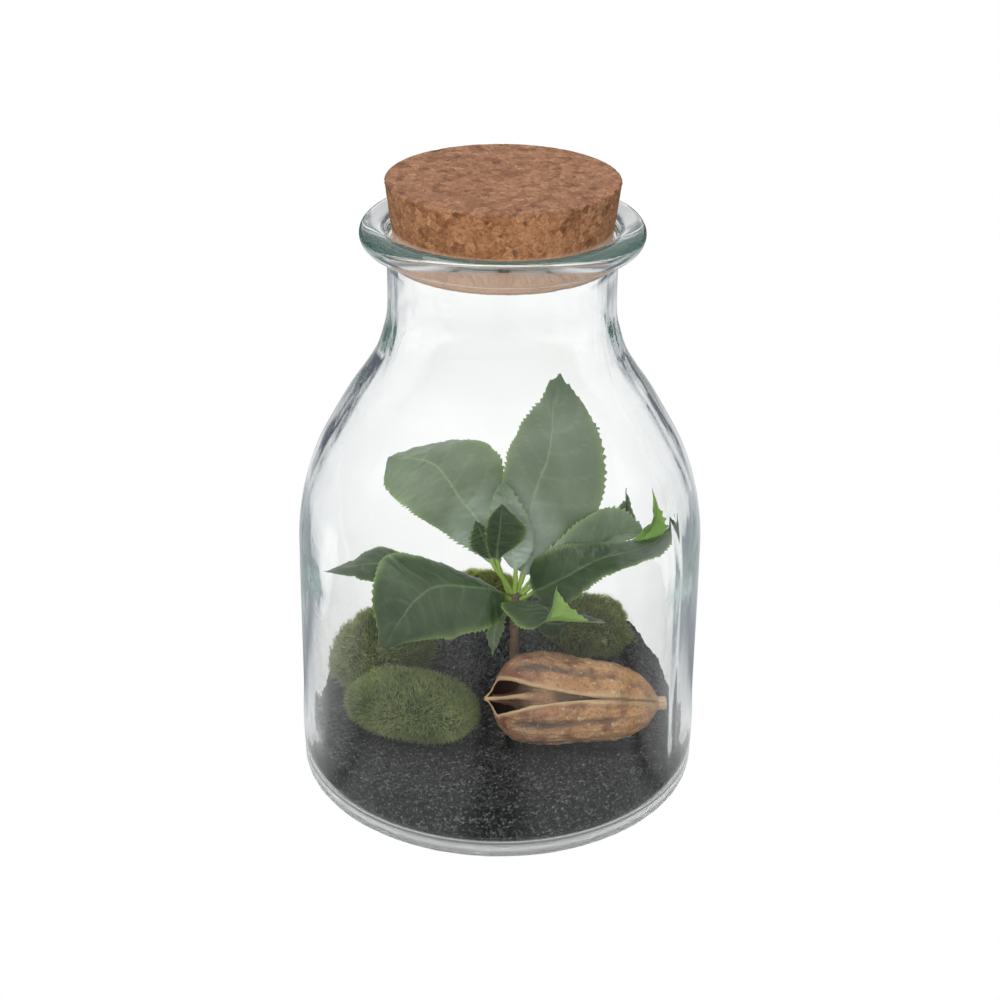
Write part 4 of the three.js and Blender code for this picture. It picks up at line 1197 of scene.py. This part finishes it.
def floor_round_the_bottle(bench, turn):
    """Tone of the floor by direction, from behind the bottle (0) round a side to the front (0.5)."""
    gap, narrow_gap, front, dusk = grey(0.03), grey(0.1), grey(0.34), (0.28, 0.3, 0.33)
    half_turn = [
        (0.055, grey(1.18)), (0.08, (0.85, 0.86, 0.88)), (0.1, (0.58, 0.6, 0.63)), (0.13, (0.4, 0.42, 0.45)),
        (0.155, dusk), (0.178, dusk), (0.192, (0.56, 0.58, 0.6)), (0.22, (0.78, 0.79, 0.8)),
        (0.28, grey(0.42)), (0.305, front), (0.322, narrow_gap), (0.34, front), (0.46, front), (0.483, gap),
    ]
    other_half = [(1 - position, colour) for position, colour in reversed(half_turn)]
    return ramp(bench, turn, half_turn + other_half)


def studio_floor():
    """Pale glowing table, white to the eye.

    What the glass mirrors and bends is darker: in zones round the bottle, far away, and in rings at its foot.
    """
    finish = bpy.data.materials.new("pale_floor")
    finish.use_nodes = True
    finish.node_tree.nodes.clear()
    bench = Bench(finish.node_tree)
    x, y, _ = bench.axes()
    turn = bench.spread(bench.math("ARCTAN2", x, bench.times(y, -1.0)), -math.pi, math.pi)
    away = bench.math("SQRT", bench.math("ADD", bench.math("POWER", x, 2.0), bench.math("POWER", y, 2.0)))
    light = bench.add("ShaderNodeLightPath").outputs
    through = straight_through(bench, light)
    tone = bench.blend(bench.times(through, 0.9), floor_round_the_bottle(bench, turn), grey(1.1))
    from_behind = bench.math("PINGPONG", turn, 0.5)
    outside = bench.math("LESS_THAN", light["Transmission Depth"], 2.5)
    outside = bench.times(outside, bench.spread(from_behind, 0.06, 0.08, 0.75, 0.0))
    tone = bench.blend(outside, tone, grey(0.36))
    beside = bench.spread(from_behind, 0.03, 0.05)
    beside = bench.times(beside, bench.spread(from_behind, 0.19, 0.21, 1.0, 0.0))
    beside = bench.math("MAXIMUM", beside, bench.math("SUBTRACT", 1.0, through))
    tone = bench.blend(bench.times(bench.spread(away, 0.36, 0.52), beside), tone, (0.1, 0.115, 0.14))
    for reach, ring_tone in ((60, 0.6), (53, 0.2), (46.5, 2.6), (43.5, 0.9), (41.5, 2.6), (37, 0.22)):
        within = bench.spread(away, reach * MM, (reach + 1) * MM, 1.0, 0.0)
        tone = bench.blend(within, tone, grey(ring_tone))
    tone = bench.blend(light["Is Diffuse Ray"], tone, grey(0.7))
    tone = bench.blend(light["Is Camera Ray"], tone, grey(1))
    glow = bench.add("ShaderNodeEmission", {"Color": tone, "Strength": 1.0})
    bench.add("ShaderNodeOutputMaterial", {"Surface": glow.outputs[0]})
    steps = np.linspace(-FLOOR_HALF, FLOOR_HALF, 9)
    x, y = np.meshgrid(steps, steps, indexing="xy")
    points = np.stack([x, y, 0 * x - 0.02], axis=-1).reshape(-1, 3)
    mesh = make_mesh("studio_floor", points, [grid_quads(9, 9, closed=False)])
    mesh.materials.append(finish)
    floor = bpy.data.objects.new("studio_floor", mesh)
    bpy.context.scene.collection.objects.link(floor)


def studio_light():
    """Bright room, dimmer and bluer at its sides in the glass, with a soft box above and a fill in front."""
    world = bpy.data.worlds.new("studio")
    bpy.context.scene.world = world
    world.use_nodes = True
    world.node_tree.nodes.clear()
    bench = Bench(world.node_tree)
    x, y, z = bench.axes("Generated")
    beside = bench.spread(bench.math("ABSOLUTE", x), 0.3, 0.75)
    dim = bench.times(beside, bench.spread(z, 0.15, 0.6, 1.0, 0.25))
    room = bench.blend(dim, grey(1), (0.14, 0.16, 0.19))
    light = bench.add("ShaderNodeLightPath").outputs
    behind_camera = bench.spread(y, -0.92, -0.55, 0.16, 1.0)
    mirrored = bench.blend(1.0, room, behind_camera, "MULTIPLY")
    mirrored = bench.blend(straight_through(bench, light), mirrored, grey(1))
    room = bench.blend(light["Is Diffuse Ray"], mirrored, room)
    room = bench.blend(light["Is Camera Ray"], room, grey(1))
    background = bench.add("ShaderNodeBackground", {"Color": room, "Strength": 1.0})
    bench.add("ShaderNodeOutputWorld", {"Surface": background.outputs[0]})
    for name, box in LAMPS.items():
        lamp_light = bpy.data.lights.new(name, "AREA")
        lamp_light.shape = "RECTANGLE"
        lamp_light.size, lamp_light.size_y = box["size"]
        lamp_light.energy = box["power"]
        lamp = bpy.data.objects.new(name, lamp_light)
        lamp.location = box["at"]
        lamp.visible_glossy = lamp.visible_transmission = box["mirrored"]
        aim = Vector((0, 0, 0.07)) - lamp.location
        lamp.rotation_euler = aim.to_track_quat("-Z", "Y").to_euler()
        bpy.context.scene.collection.objects.link(lamp)


def studio_camera():
    """Long lens in front of the bottle and above it, looking down at the photograph's angle."""
    camera = bpy.data.cameras.new("camera")
    camera.sensor_width = 36.0
    camera.lens = CAMERA_LENS
    camera.dof.use_dof = False
    camera.clip_start = 0.05
    camera.clip_end = 20.0
    holder = bpy.data.objects.new("camera", camera)
    holder.matrix_world = (
        Matrix.Translation(Vector(CAMERA_AT) * MM)
        @ Matrix.Rotation(math.pi / 2 - CAMERA_PITCH, 4, "X")
        @ Matrix.Rotation(CAMERA_ROLL, 4, "Z")
    )
    bpy.context.scene.collection.objects.link(holder)
    bpy.context.scene.camera = holder


fill_bottle()
studio_floor()
studio_light()
studio_camera()
bpy.context.scene.view_settings.view_transform = "Standard"
for bounces in ("max_bounces", "transmission_bounces", "glossy_bounces"):
    setattr(bpy.context.scene.cycles, bounces, GLASS_BOUNCES)
